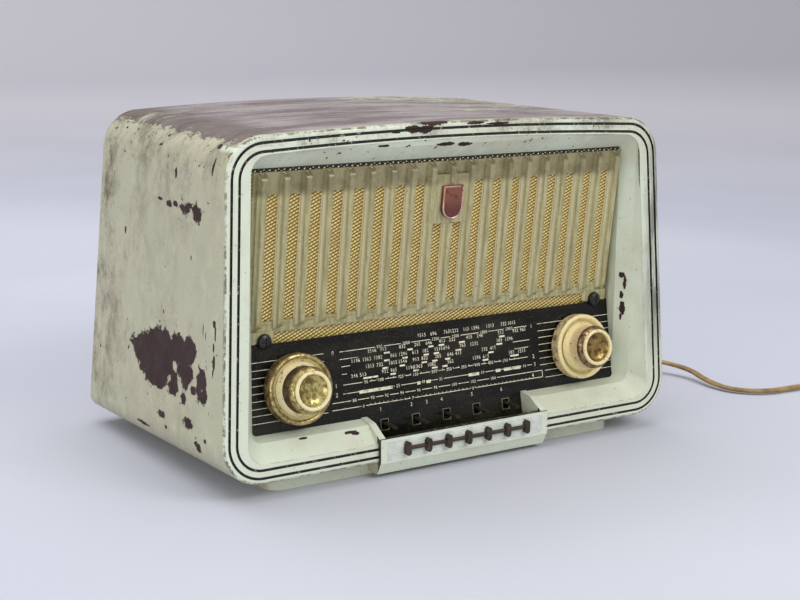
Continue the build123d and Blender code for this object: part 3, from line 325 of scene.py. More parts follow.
def worn_paint():
    """Old pale paint over maroon bakelite: flaked, grimy, rubbed through on top, black in the grooves, with
    painted light making the front lighter than the sides and painted sheen on the bared top.

    Positions are in metres in the CAD frame.
    """
    s = Shader("worn_paint")
    x, y, z = s.axes()
    facing = s.axes(s.normal())
    depth = s.minus(y, FRONT_Y * MM)
    off = s.off(FRAME)
    level = s.vector("DOT_PRODUCT", s.normal(), FRAME.z)
    fine = s.noise(260, 6, 0.7)
    medium = s.noise(70, 5, 0.6)
    broad = s.noise(14, 4, 0.6)
    fleck = s.noise(520, 3, 0.6, seed=5.0)
    # the front frame and the stepped opening inside it are lighter than the sides, partly as painted light on
    # the front
    forward = s.step(s.times(facing[1], -1.0), 0.35, 0.7)
    inside = s.times(s.step(s.size(x), 0.166, 0.164), s.step(z, 0.2215, 0.2205))
    inside = s.times(inside, s.times(s.step(depth, 0.032, 0.030), s.step(z, 0.0225, 0.0235)))
    front = s.larger(forward, inside)
    paint = s.mix(front, SIDE_PAINT_AND_SHADE, FRONT_PAINT_AND_LIGHT)
    paint = s.mix(s.step(broad, 0.42, 0.62, 0.0, 0.35), paint, srgb(186, 176, 150))
    paint = s.mix(s.step(medium, 0.52, 0.75, 0.0, 0.3), paint, srgb(222, 224, 196))
    # grime on the rear and upper parts of the sides, in smudges and soft streaks
    smudge = s.noise(34, 10, 0.78, stretch=(1, 1, 0.8), seed=3.1)
    scratch = s.noise(150, 5, 0.65, stretch=(1, 1, 0.3), seed=8.0)
    upper = s.step(z, 0.165, 0.226, 0.0, 0.6)
    rear = s.step(s.plus(depth, s.times(z, 0.25)), 0.150, 0.260, 0.0, 0.7)
    dirt = s.larger(upper, rear)
    dirt = s.times(dirt, s.inverse(s.times(inside, 0.85)))
    dirt = s.plus(dirt, s.step(depth, 0.012, 0.07, 0.06, 0.26))
    marks = s.plus(s.step(smudge, 0.42, 0.66), s.step(scratch, 0.5, 0.72, 0.0, 0.3))
    dirt = s.times(dirt, marks, clamp=True)
    paint = s.mix(dirt, paint, GRIME)
    # upright scratches down the right border
    right = s.times(s.step(x, 0.154, 0.170), s.step(z, 0.03, 0.10))
    upright = s.noise(190, 6, 0.7, stretch=(1, 1, 0.12), seed=2.2)
    right = s.times(right, s.step(upright, 0.40, 0.60, 0.25, 0.9))
    paint = s.mix(s.times(right, forward), paint, srgb(104, 102, 94))
    grit = s.step(s.plus(fleck, s.times(dirt, 0.12)), 0.68, 0.72, 0.0, 0.75)
    paint = s.mix(grit, paint, srgb(84, 74, 60))
    # a dark line of dirt along the edges of the frame, but not on the bar plate
    outer = s.larger(s.step(s.size(x), 0.169, 0.172), s.step(z, 0.2215, 0.2235))
    outer = s.larger(outer, s.step(z, 0.0185, 0.0165))
    edge = s.times(s.step(level, 0.25, 0.4), s.step(level, 0.95, 0.85))
    edge = s.times(edge, s.step(off, s.plus(s.times(outer, -0.0028), -0.0009), 0.0))
    edge = s.times(edge, s.step(s.noise(170, 6, 0.7, seed=6.5), 0.44, 0.58, 0.1, 0.9))
    plate = s.times(s.step(s.size(x), 0.073, 0.071), s.step(z, 0.031, 0.029))
    edge = s.times(edge, s.inverse(plate))
    paint = s.mix(s.times(edge, s.plus(s.times(outer, 0.5), 0.5)), paint, srgb(78, 70, 56))
    # flakes: those at known places with ragged edges, then scattered ones
    ragged = s.times(s.minus(s.noise(95, 9, 0.74), 0.5), 24.0)
    rough = s.times(s.minus(s.noise(330, 6, 0.7), 0.5), 2.2)
    left = s.step(x, -0.150, -0.160)
    away = s.plus(s.patches(SIDE_CHIPS), ragged)
    spots = s.ovals([((0, y, z), (0, wide, high)) for y, z, wide, high in SIDE_SPOTS])
    side = s.larger(s.step(away, 0.3, -0.3), s.step(s.plus(spots, rough), 1.03, 0.97))
    side = s.times(side, left)
    ahead = s.step(depth, 0.040, 0.036)
    ahead = s.times(s.step(s.plus(s.ovals(FRONT_SPOTS), rough), 1.03, 0.97), ahead)
    near = s.times(left, s.step(away, 18.0, 2.0, 0.0, 0.06))
    share = s.plus(s.step(z, 0.195, 0.228, 0.0, 0.090), near)
    share = s.plus(share, s.times(s.step(off, -0.006, 0.0), -0.035))
    scattered = s.step(s.plus(s.noise(190, 5, 0.62, seed=9.0), share), 0.700, 0.708)
    # the top is rubbed through, with streaks of paint left towards the rear and the right; the bared bakelite
    # is streaked pale grey-lilac, partly as painted sheen
    scuffs = s.noise(90, 6, 0.7, stretch=(1, 0.8, 1))
    scuffs = s.plus(scuffs, s.noise(520, 5, 0.7, stretch=(1, 0.35, 1), seed=11.0))
    tall = s.plus(z, s.times(s.minus(scuffs, 1.0), 0.0125))
    top = s.step(tall, 0.2226, 0.2240)
    behind = s.minus(s.times(s.minus(fine, 0.5), 0.010), off)
    top = s.times(top, s.step(behind, 0.0035, 0.0045))
    left_over = s.noise(24, 9, 0.74, stretch=(0.3, 1, 1), seed=7.0)
    limit = s.plus(s.step(x, 0.0, 0.15, 0.66, 0.50), s.step(depth, 0.09, 0.21, 0.0, -0.13))
    top = s.times(top, s.inverse(s.step(s.minus(left_over, limit), -0.01, 0.02)))
    bare = s.larger(s.larger(side, ahead), s.larger(scattered, top))
    chips = s.mix(s.step(fine, 0.35, 0.65), srgb(38, 11, 10), srgb(54, 24, 20))
    # painted sheen: pale grey-lilac streaks on the bared top, far paler than the bakelite in the chips
    wipe_and_sheen_streaks = s.noise(46, 7, 0.7, stretch=(0.22, 1, 1), seed=4.0)
    bare_top_and_sheen = s.mix(s.step(wipe_and_sheen_streaks, 0.36, 0.64), srgb(98, 82, 79), srgb(158, 148, 146))
    brown = s.times(s.step(x, -0.108, -0.140), s.step(wipe_and_sheen_streaks, 0.30, 0.5, 1.0, 0.75))
    bare_top_and_sheen = s.mix(brown, bare_top_and_sheen, srgb(76, 61, 44))
    bare_top_and_sheen = s.mix(s.step(fleck, 0.6, 0.7, 0.0, 0.5), bare_top_and_sheen, srgb(70, 52, 50))
    # black paint lies in the two grooves and has partly flaked out of them
    in_groove = s.times(s.math("GREATER_THAN", level, 0.98), s.math("LESS_THAN", off, -0.0008))
    walls = s.math("LESS_THAN", s.size(level), 0.2)
    groove = s.times(s.larger(in_groove, walls), s.math("GREATER_THAN", off, -0.00145))
    groove = s.times(groove, s.step(s.noise(360, 6, 0.72, seed=6.0), 0.36, 0.42, 0.3, 1.0))
    colour = s.mix(bare, paint, s.mix(top, chips, bare_top_and_sheen))
    colour = s.mix(groove, colour, srgb(38, 38, 34))
    painted = s.inverse(bare)
    s.bump(painted, 0.14)
    s.bump(s.noise(900, 4, 0.6), 0.05, 0.6)
    s.bump(medium, 0.25, 0.5)
    roughness = s.plus(s.step(medium, 0.3, 0.7, 0.26, 0.40), s.times(dirt, 0.25))
    roughness = s.plus(roughness, s.times(s.inverse(top), s.times(bare, 0.3)))
    return s.done(Base_Color=colour, Roughness=roughness, Specular_IOR_Level=0.42)


def plain(name, colour, roughness, metallic=0.0, variation=0.12, scale=120, grain=0.02, **extra):
    """Plastic, metal or card with mottled colour, uneven gloss and a little grain."""
    s = Shader(name)
    mottle = s.noise(scale, 5, 0.6)
    darker = tuple(c * (1 - 2.2 * variation) for c in colour[:3]) + (1.0,)
    lighter = tuple(min(c * (1 + 1.6 * variation), 1) for c in colour[:3]) + (1.0,)
    tone = s.mix(s.step(mottle, 0.3, 0.7), darker, lighter)
    s.bump(s.noise(scale * 8, 3, 0.6), grain, 0.6)
    gloss = s.step(s.noise(scale * 2, 4, 0.6, seed=1.0), 0.3, 0.7, roughness * 0.8, min(roughness * 1.25, 1))
    return s.done(Base_Color=tone, Roughness=gloss, Metallic=metallic, **extra)


def paper_floor():
    s = Shader("paper")
    tone = s.mix(s.step(s.noise(1.5, 3, 0.5), 0.3, 0.7), (0.50, 0.52, 0.60, 1), (0.56, 0.58, 0.65, 1))
    # lighter away from the radio, where less of the lamps' light falls
    away = s.vector("LENGTH", s.vector("MULTIPLY", s.coordinates, (1, 1, 0)))
    tone = s.mix(s.step(away, 1.2, 3.4), tone, (0.80, 0.79, 0.84, 1))
    s.bump(s.noise(7, 3, 0.5), 1.5, 0.4)
    return s.done(Base_Color=tone, Roughness=0.75)


def wear(node, material):
    """Gives a CAD node its material."""
    nodes[node].data.materials.clear()
    nodes[node].data.materials.append(material)


def piece(name, points, faces, material, replaces=(), body="cabinet", smooth=True):
    """Mesh object from points in metres, on the body it moves with."""
    mesh = bpy.data.meshes.new(name)
    mesh.from_pydata([tuple(p) for p in points], [], faces)
    mesh.materials.append(material)
    mesh.polygons.foreach_set("use_smooth", [smooth] * len(faces))
    mesh.update()
    made = bpy.data.objects.new(name, mesh)
    link(made)
    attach(made, body)
    if replaces:
        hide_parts(*replaces)
    return made


# A pale sheet that curves up behind the radio: its (y, z) line in metres, from near the camera to the top.
SHEET_REACH = 7.0
WALL_Y, WALL_TOP = 5.0, 4.0
CURVE_RADIUS = 1.0
SWEEP = [(-SHEET_REACH, 0.0)]
for degrees in range(0, 91, 9):
    across, up = CURVE_RADIUS * sin(radians(degrees)), CURVE_RADIUS * cos(radians(degrees))
    SWEEP.append((WALL_Y - CURVE_RADIUS + across, CURVE_RADIUS - up))
SWEEP.append((WALL_Y, WALL_TOP))
floor_mesh = bpy.data.meshes.new("floor")
floor_mesh.from_pydata(
    [(x, y, z) for y, z in SWEEP for x in (-SHEET_REACH, SHEET_REACH)], [],
    [(2 * k, 2 * k + 1, 2 * k + 3, 2 * k + 2) for k in range(len(SWEEP) - 1)],
)
floor_mesh.materials.append(paper_floor())
floor_mesh.polygons.foreach_set("use_smooth", [True] * len(floor_mesh.polygons))
floor = bpy.data.objects.new("floor", floor_mesh)
link(floor)

paint = worn_paint()
wear("cabinet_shell", paint)

# ------------------------ mains lead

CORD_ROUTE = [
    (120, 258.5, 40), (120, 285, 40), (138, 308, 35), (169, 309, 28), (195, 285, 22), (213, 246, 17.5),
    (231, 202, 14.5), (254, 160, 12.3), (277, 123, 10.6), (291.5, 92, 8.0), (285.8, 64, 4.2),
    (286.5, 38, 2.9), (306, 19.5, 2.8), (334, 17.2, 2.8), (362, 15.5, 2.8),
]
CORD_TAIL = [(356, -56.3, 7.8), (338, -58.5, 7.1), (321, -66, 7.1)]
CORE_RADIUS, CORE_SPREAD = 1.45, 1.3
COIL_CENTRE = (376, -20.5)
COIL_TURNS = 5 + 230 / 360
COIL_INNER, COIL_SPREAD = 24.5, 11.0
COIL_START = 111.3
COIL_LOW, COIL_RISE = 2.8, 5.3
# the spline runs a little inside its control points, so they stand this much further out
COIL_SWELL = 1.012
TURN_POINTS = 16
SPLINE_RESOLUTION = 6


def coil_points():
    """Turns from the outer ring inwards on the table, then back outwards on top of them."""
    count = round(COIL_TURNS * TURN_POINTS)
    points = []
    for step in range(1, count):
        share = step / count
        inward = abs(2 * share - 1)
        radius = (COIL_INNER + COIL_SPREAD * inward) * COIL_SWELL
        angle = radians(COIL_START - 360 * COIL_TURNS * share)
        # the lead climbs onto the lower turns halfway along
        height = COIL_LOW + COIL_RISE * min(max((share - 0.47) / 0.06, 0), 1)
        points.append((COIL_CENTRE[0] + radius * cos(angle), COIL_CENTRE[1] + radius * sin(angle), height))
    return points


def smooth_line(points):
    """Points along the NURBS spline that has these control points."""
    curve = bpy.data.curves.new("route", "CURVE")
    curve.dimensions = "3D"
    spline = curve.splines.new("NURBS")
    spline.points.add(len(points) - 1)
    for knot, point in zip(spline.points, points):
        knot.co = (*place(*point), 1)
    spline.order_u = 3
    spline.use_endpoint_u = True
    spline.resolution_u = SPLINE_RESOLUTION
    line = mesh_of(curve)
    found = [vertex.co.copy() for vertex in line.vertices]
    bpy.data.curves.remove(curve)
    bpy.data.meshes.remove(line)
    return found


def twin_section(radius, spread, count=12):
    """Outline of two round cores side by side, as (across, up) in millimetres."""
    outline = []
    for side in (1, -1):
        for step in range(count):
            angle = radians(-118 + 236 * step / (count - 1))
            outline.append((side * (spread + radius * cos(angle)), side * radius * sin(angle)))
    return outline


def flex():
    """The flat twin flex, swept along its route."""
    line = smooth_line(CORD_ROUTE + coil_points() + CORD_TAIL)
    section = twin_section(CORE_RADIUS, CORE_SPREAD)
    points, faces = [], []
    for index, centre in enumerate(line):
        ahead = (line[min(index + 1, len(line) - 1)] - line[max(index - 1, 0)]).normalized()
        across = ahead.cross(Vector((0, 0, 1))).normalized()
        up = across.cross(ahead)
        points += [centre + (across * a + up * b) * MM for a, b in section]
    size = len(section)
    for ring in range(len(line) - 1):
        for k in range(size):
            a, b = ring * size + k, ring * size + (k + 1) % size
            faces.append((a, b, b + size, a + size))
    faces.append(tuple(range(size))[::-1])
    faces.append(tuple(len(points) - size + k for k in range(size)))
    made = piece("mains_flex", points, faces, flex_plastic(),
                 ("mains_cord", "cord_coil", "cord_tail"))


def flex_plastic():
    s = Shader("flex_plastic")
    tone = s.mix(s.step(s.noise(45, 4, 0.6), 0.35, 0.65), srgb(112, 84, 40), srgb(168, 136, 82))
    tone = s.mix(s.step(s.noise(400, 3, 0.6, seed=2.0), 0.62, 0.7, 0, 0.5), tone, srgb(70, 52, 30))
    s.bump(s.noise(900, 3, 0.6), 0.05, 0.5)
    return s.done(Base_Color=tone, Roughness=0.42)


flex()

# ------------------------ turned pieces


KNOB_X, KNOB_UP = 115.9, 26.7
AROUND = 240
WELD_DISTANCE = 0.00002
SHARP_ANGLE = radians(38)


def turned(name, x, sections, body, replaces):
    """Lathed piece on the dial. Each section is (material, profile, number of flutes round it)."""
    points, faces, owners, materials = [], [], [], []
    for material, profile, flutes in sections:
        materials.append(material)
        start = len(points)
        for radius, out, *depth in profile:
            for step in range(AROUND):
                angle = 2 * pi * step / AROUND
                dip = depth[0] * (0.5 - 0.5 * cos(flutes * angle)) if depth else 0.0
                away = max(radius - dip, 0.0)
                points.append(DIAL.at(x + away * cos(angle), KNOB_UP + away * sin(angle), out))
        for row in range(len(profile) - 1):
            for step in range(AROUND):
                a = start + row * AROUND + step
                b = start + row * AROUND + (step + 1) % AROUND
                faces.append((a, b, b + AROUND, a + AROUND))
                owners.append(len(materials) - 1)
    made = piece(name, points, faces, materials[0], replaces, body)
    for material in materials[1:]:
        made.data.materials.append(material)
    made.data.polygons.foreach_set("material_index", owners)
    weld = bmesh.new()
    weld.from_mesh(made.data)
    bmesh.ops.remove_doubles(weld, verts=weld.verts, dist=WELD_DISTANCE)
    bmesh.ops.recalc_face_normals(weld, faces=weld.faces)
    weld.to_mesh(made.data)
    weld.free()
    made.data.set_sharp_from_angle(angle=SHARP_ANGLE)


def worn_metal(name, bright, dull, roughness=0.32, scale=300):
    """Lacquered brass with dark tarnish spots."""
    s = Shader(name)
    tarnish = s.step(s.noise(scale, 7, 0.7), 0.42, 0.6)
    spots = s.step(s.noise(scale * 2.2, 4, 0.6, seed=3.0), 0.60, 0.66)
    tone = s.mix(tarnish, bright, dull)
    tone = s.mix(s.times(spots, 0.75), tone, srgb(46, 34, 20))
    s.bump(s.noise(scale * 3, 4, 0.6), 0.03, 0.7)
    gloss = s.step(tarnish, 0.0, 1.0, roughness, roughness + 0.25)
    return s.done(Base_Color=tone, Roughness=gloss, Metallic=s.step(spots, 0, 1, 0.9, 0.2))


def knob_plastic(name, light, dark, amount, scale=160, marks=srgb(70, 52, 34)):
    """Cream plastic with gold lacquer or dirt left in patches."""
    s = Shader(name)
    patch = s.step(s.noise(scale, 7, 0.68), 0.66 - amount * 0.5, 0.74 - amount * 0.4)
    tone = s.mix(patch, light, dark)
    tone = s.mix(s.step(s.noise(900, 3, 0.6, seed=4.0), 0.62, 0.68, 0, 0.7), tone, marks)
    s.bump(s.noise(scale * 4, 4, 0.6), 0.04, 0.6)
    return s.done(Base_Color=tone, Roughness=s.step(patch, 0, 1, 0.30, 0.45))


brass = worn_metal("knob_brass", srgb(204, 186, 130), srgb(138, 118, 70), 0.30)
pink_brass = worn_metal("collar_brass", srgb(156, 130, 100), srgb(88, 68, 50), 0.24)
dish_gold = worn_metal("dish_gold", srgb(202, 188, 124), srgb(124, 108, 62), 0.34, 230)
dish_dark = worn_metal("dish_dark_gold", srgb(164, 138, 84), srgb(96, 76, 40), 0.34, 260)
# painted shade: the neck is black where it shows in the gap between the brass collar and the cap
gap_shade_black = plain("gap_shade_black", srgb(44, 34, 24), 0.5)
RIMS = {
    "left": knob_plastic("rim_left", srgb(140, 120, 78), srgb(80, 64, 42), 0.5),
    "right": knob_plastic("rim_right", srgb(214, 196, 150), srgb(122, 92, 60), 0.34, 220),
}
FACES = {
    "left": knob_plastic("face_left", srgb(236, 224, 176), srgb(166, 138, 82), 0.24, 110),
    "right": knob_plastic("face_right", srgb(235, 219, 164), srgb(186, 160, 108), 0.16),
}
GRIPS = {
    "left": knob_plastic("grip_left", srgb(106, 86, 58), srgb(66, 50, 36), 0.5),
    "right": knob_plastic("grip_right", srgb(222, 202, 158), srgb(140, 108, 78), 0.22),
}
RIM_FLUTES, GRIP_FLUTES = 84, 60

# Profiles, as (radius, distance out of the dial) and, where there are flutes, their depth. The outer disc's:
RIM = [(5.1, 1.6), (21.6, 1.6), (22.9, 1.9), (23.3, 2.3), (23.5, 2.9, 0.5), (23.5, 9.0, 0.5), (23.1, 9.4)]
BEAD = [(23.1, 9.4), (22.8, 10.0), (22.2, 10.4), (21.4, 10.55), (20.7, 10.4), (20.1, 9.9), (19.8, 9.2)]
FACE = [(19.8, 9.2), (19.4, 8.4), (18.9, 7.7), (18.2, 7.2), (5.1, 7.2)]
# the inner grip's, from its skirt to the lip of its cap
SKIRT = [
    (3.1, 7.75), (17.2, 7.75), (17.7, 8.2), (17.8, 8.8), (17.4, 9.5), (16.7, 10.8), (15.8, 12.0),
    (15.4, 12.7),
]
GRIP = [
    (15.4, 12.7, 0.1), (15.2, 13.3, 0.5), (14.9, 15.0, 0.6), (14.7, 17.0, 0.6), (14.6, 20.4, 0.5),
    (13.8, 20.6),
]
NECK = [(13.8, 20.6), (12.9, 20.8), (12.9, 25.2)]
LIP = [
    (12.9, 25.2), (12.9, 26.1), (12.7, 26.6), (12.3, 26.9), (11.8, 27.0), (11.2, 27.0), (10.75, 26.8),
    (10.5, 26.3), (10.4, 25.6), (10.4, 22.1), (3.1, 22.1),
]
# the brass ring's and the dished cap's
COLLAR = [
    (13.0, 20.7), (14.8, 20.7), (15.2, 21.1), (15.35, 21.7), (15.3, 22.4), (15.0, 23.2), (14.4, 24.0),
    (13.7, 24.6), (13.0, 24.9),
]
DISH = [
    (10.35, 22.15), (10.35, 25.1), (10.1, 25.25), (9.7, 24.9), (8.8, 24.2), (7.6, 23.6), (6.0, 23.1),
    (4.2, 22.75), (2.1, 22.55), (0.0, 22.5),
]


def knob(side):
    x = -KNOB_X if side == "left" else KNOB_X
    rim, face, grip = RIMS[side], FACES[side], GRIPS[side]
    bead, collar, dish = (brass, brass, dish_gold) if side == "left" else (face, pink_brass, dish_dark)
    turned(
        f"{side}_disc", x, [(rim, RIM, RIM_FLUTES), (bead, BEAD, 1), (face, FACE, 1)],
        f"{side}_outer_control", (f"{side}_outer_knob",),
    )
    turned(
        f"{side}_grip", x,
        [(face, SKIRT, 1), (grip, GRIP, GRIP_FLUTES), (gap_shade_black, NECK, 1), (face, LIP, 1)],
        f"{side}_inner_control", (f"{side}_inner_knob",),
    )
    turned(
        f"{side}_ring_and_dish", x, [(collar, COLLAR, 1), (dish, DISH, 1)],
        f"{side}_inner_control", (f"{side}_knob_trim",),
    )


knob("left")
knob("right")

# ------------------------ dial and its print


def printed_white():
    s = Shader("printed_white")
    tone = s.mix(s.step(s.noise(240, 6, 0.7), 0.50, 0.68), srgb(236, 230, 204), srgb(140, 134, 114))
    return s.done(Base_Color=tone, Roughness=0.5)


def dusty_glass():
    """Black-backed glass with dust and brown smears."""
    s = Shader("dusty_glass")
    dust = s.step(s.noise(1500, 2, 0.5), 0.68, 0.72)
    smear = s.step(s.noise(40, 6, 0.65, stretch=(0.5, 1, 1)), 0.4, 0.75)
    tone = s.mix(smear, srgb(12, 12, 7), srgb(38, 35, 25))
    tone = s.mix(s.times(dust, 0.5), tone, srgb(150, 146, 130))
    return s.done(Base_Color=tone, Roughness=s.step(smear, 0, 1, 0.2, 0.42), Specular_IOR_Level=0.3)


white = printed_white()
wear("dial_glass", dusty_glass())
# the print lies this far out of the glass
PRINT_OUT = 0.03
PRINT_BARS, PRINT_NUMBERS = [], []


def bar(x0, x1, up, thick):
    PRINT_BARS.append((x0, x1, up - thick / 2, up + thick / 2))


def number(text, x, up, height=2.2):
    PRINT_NUMBERS.append((text, x, up, height))


def broken_line(x0, x1, up, thick, gaps):
    """Line with gaps where the numbers stand."""
    start = x0
    for value, x in gaps.items():
        text = str(value)
        half = len(text) * 0.85 + 0.9
        bar(start, x - half, up, thick)
        number(text, x, up)
        start = x + half
    bar(start, x1, up, thick)


# level lines beside and behind the knobs
for up in (46.4, 41.3, 36.5, 31.5, 26.5, 21.6, 16.8, 12.4, 7.4):
    bar(-150.5, -92.5, up, 0.38)
    bar(83.0 if up > 14 else 87.0, 150.5, up, 0.38)
broken_line(-80.6, 73.7, 46.0, 0.42, {500: -49.6, 1000: -28.4, 1200: -4.6, 1500: 12, 1800: 36, 2000: 58})
for x0, x1, up in (
    (-80.7, -66.8, 41.0), (-80, -73.4, 36.1), (60.4, 75.2, 36.0), (61.6, 73.5, 31.0), (-80, -76, 31.0),
):
    bar(x0, x1, up, 0.4)
# Plain numbers where the stations stand, as (height, [(from, to)]); each follows from the one before.
ROWS = [
    (49.8, [(-20.4, -1.0), (2.0, 14.5), (17.5, 33.0), (36.5, 47.0), (50.0, 64.0)]),
    (44.0, [(-60.2, -42.4), (-37, -26.4), (-24.2, -5.6), (-3.4, 13.3), (18.9, 37.1), (45.1, 56), (60, 73.4)]),
    (38.9, [(-73.2, -47.1), (-42.9, -27.9), (-25.8, -9.4), (-6.1, 7.2), (12.5, 32.0), (44.7, 61.2)]),
    (34.0, [(-62.2, -46.5), (-44, -28.4), (-25.2, -11), (-8.1, 1.1), (3.3, 16.8), (32, 46.6)]),
    (29.0, [(-74, -60.6), (-50.2, -36.4), (-30, -17), (-14.8, -3.8), (0.4, 12.3), (24.3, 40.4), (54, 72.1)]),
]
kilohertz = 182
for up, spans in ROWS:
    for x0, x1 in spans:
        places = max(1, round((x1 - x0) / 8.2))
        for k in range(places):
            kilohertz = 150 + (kilohertz * 7 + 91) % 1450
            number(str(kilohertz), x0 + (k + 0.5) * (x1 - x0) / places, up, 2.5)
# short thick dashes between the rows, as (height, [(middle, width)])
DASHES = [
    (41.2, [(-44.2, 4.6), (-25.6, 4.2), (-8.8, 4.2), (0.0, 4.6), (17.1, 5), (51.3, 5)]),
    (36.1, [(-44.6, 4.4), (-30.1, 4.2), (-13, 4.2), (-4.6, 4.4), (13.6, 5), (48.7, 5)]),
    (31.1, [(-46.2, 4.6), (-32.8, 4.2), (-15, 4.4), (-6.4, 4.2), (4.2, 4.2), (41, 4.6)]),
    (26.4, [(-58.2, 11.5), (-40.5, 4.4), (-22.2, 4.2), (-6.9, 4.6), (1.5, 4.2), (35.8, 5), (61, 7.4)]),
]
for up, dashes in DASHES:
    for x, width in dashes:
        bar(x - width / 2, x + width / 2, up, 1.15)
broken_line(-79.7, 72.8, 23.9, 0.42, {
    95: -62, 100: -50.6, 125: -34.7, 150: -22.9, 200: -7.5, 250: 4.7, 350: 17.0, 400: 28.4, 450: 39.9,
    590: 52.7,
})
broken_line(-80.2, 75.9, 18.0, 0.42, {25: -37.4, 49: -17, 31: -2.6, 19: 32.4, 16: 69})
# thick strips that mark the short-wave bands
for x0, x1 in ((-67.9, -41.7), (-22.0, -19.4), (-14.6, -11.0), (20.5, 29.5), (43.9, 48.0), (51.0, 65.6)):
    bar(x0, x1, 17.6, 2.1)
broken_line(-88.9, 84.6, 12.8, 0.45, {
    88: -72, 90: -58.1, 92: -46.9, 94: -34.8, 96: -21.2, 98: -7.6, 100: 8.0, 102: 23.9, 104: 41.1,
})
broken_line(-89.3, 84.6, 8.1, 0.45, {6: -65.3, 7: -26.6, 8: 23.5})
PRINT_BARS.append((84.2, 84.7, 7.9, 13.0))
# fine graduations
for k in range(40):
    x = -60 + k * 3.4
    bar(x, x + 0.35, 8.7, 0.9)
for k in range(28):
    x = -58 + k * 4.4
    bar(x, x + 0.35, 24.5, 0.9)
for k, x in enumerate((-52.5, -28.0, -15.6, -3.4, 22.0, 47.4)):
    number(str(k + 1), x, 4.1, 2.6)
for text, x, up in (
    ("0", -85.7, 45.9), ("1", -85.0, 24.0), ("2", -85.0, 18.0), ("1", 77.6, 45.6), ("2", 77.7, 23.8),
    ("3", 78.3, 18.0), ("4", 76.0, 10.3),
):
    number(text, x, up, 2.8)


# the font's figures are this high at size 1; they are set this far apart and this narrow
FIGURE_HEIGHT, FIGURE_PITCH, FIGURE_NARROWING = 0.70, 0.72, 0.9


def digits(entries):
    """Upright numbers, centred on their places, as one flat mesh's points and faces."""
    points, faces = [], []
    shapes = {}
    for text, x, up, height in entries:
        for order, sign in enumerate(text):
            if sign not in shapes:
                curve = bpy.data.curves.new("digit", "FONT")
                curve.body = sign
                curve.resolution_u = 2
                curve.align_x = "CENTER"
                flat = mesh_of(curve)
                corners = [vertex.co.copy() for vertex in flat.vertices]
                shapes[sign] = (corners, [tuple(face.vertices) for face in flat.polygons])
            outline, inner = shapes[sign]
            start = len(points)
            scale = height / FIGURE_HEIGHT
            middle = x + (order - (len(text) - 1) / 2) * height * FIGURE_PITCH
            points += [
                DIAL.at(middle + c.x * scale * FIGURE_NARROWING, up - height / 2 + c.y * scale, PRINT_OUT)
                for c in outline
            ]
            faces += [tuple(start + k for k in face) for face in inner]
    return points, faces


def dial_print():
    points, faces = digits(PRINT_NUMBERS)
    for x0, x1, low, high in PRINT_BARS:
        start = len(points)
        points.extend(DIAL.at(x, up, PRINT_OUT) for x, up in ((x0, low), (x1, low), (x1, high), (x0, high)))
        faces.append((start, start + 1, start + 2, start + 3))
    piece("dial_print", points, faces, white, smooth=False)


dial_print()

# ------------------------ key slots, bar plate, ornament


KEY_PITCH, KEY_HALF, KEY_LOW, KEY_HIGH = 25.12, 2.7, -10.0, -3.2
KEY_FRAME = 0.6


def key_slot_frames():
    """Flat frames printed on the dial round the five key slots."""
    points, faces = [], []
    for key in range(5):
        middle = (key - 2) * KEY_PITCH
        start = len(points)
        for grow in (0, KEY_FRAME):
            left, right = middle - KEY_HALF - grow, middle + KEY_HALF + grow
            low, high = KEY_LOW - grow, KEY_HIGH + grow
            corners = ((left, low), (right, low), (right, high), (left, high))
            points += [DIAL.at(x, up, PRINT_OUT) for x, up in corners]
        faces += [(start + k, start + 4 + k, start + 4 + (k + 1) % 4, start + (k + 1) % 4) for k in range(4)]
    faded = plain("frame_print", srgb(112, 106, 86), 0.5)
    piece("key_slot_frames", points, faces, faded, smooth=False)


key_slot_frames()

RIB_COUNT, RIB_PITCH, RIBS_FOOT, RIBS_HALF_WIDTH = 14, 0.98, 12.4, 63.6


def bar_ribs():
    """Fine level ribs across the bar plate, inside a plain border."""
    profile = [(-2.85, RIBS_FOOT)]
    for k in range(RIB_COUNT):
        low = RIBS_FOOT + k * RIB_PITCH
        profile += [(-2.9, low), (-3.2, low + 0.3), (-3.2, low + 0.6), (-2.9, low + 0.9)]
    profile.append((-2.85, profile[-1][1]))
    count = len(profile)
    points = [place(x, depth, z) for x in (-RIBS_HALF_WIDTH, RIBS_HALF_WIDTH) for depth, z in profile]
    faces = [(k, (k + 1) % count, count + (k + 1) % count, count + k) for k in range(count)]
    faces += [tuple(range(count))[::-1], tuple(range(count, 2 * count))]
    pale = plain("bar_paint", srgb(214, 220, 212), 0.4, variation=0.06, scale=150)
    piece("bar_ribs", points, faces, pale, smooth=False)


bar_ribs()


def old_bronze():
    s = Shader("old_bronze")
    patch = s.step(s.noise(150, 6, 0.7), 0.45, 0.62)
    tone = s.mix(patch, srgb(46, 37, 26), srgb(70, 58, 41))
    tone = s.mix(s.step(s.noise(420, 4, 0.6, seed=2.0), 0.62, 0.68, 0, 0.6), tone, srgb(104, 90, 66))
    s.bump(s.noise(500, 4, 0.6), 0.08, 0.8)
    return s.done(Base_Color=tone, Roughness=s.step(patch, 0, 1, 0.46, 0.62), Metallic=0.2)


wear("ornament_bar", old_bronze())

# ------------------------ grille, cloth and badge


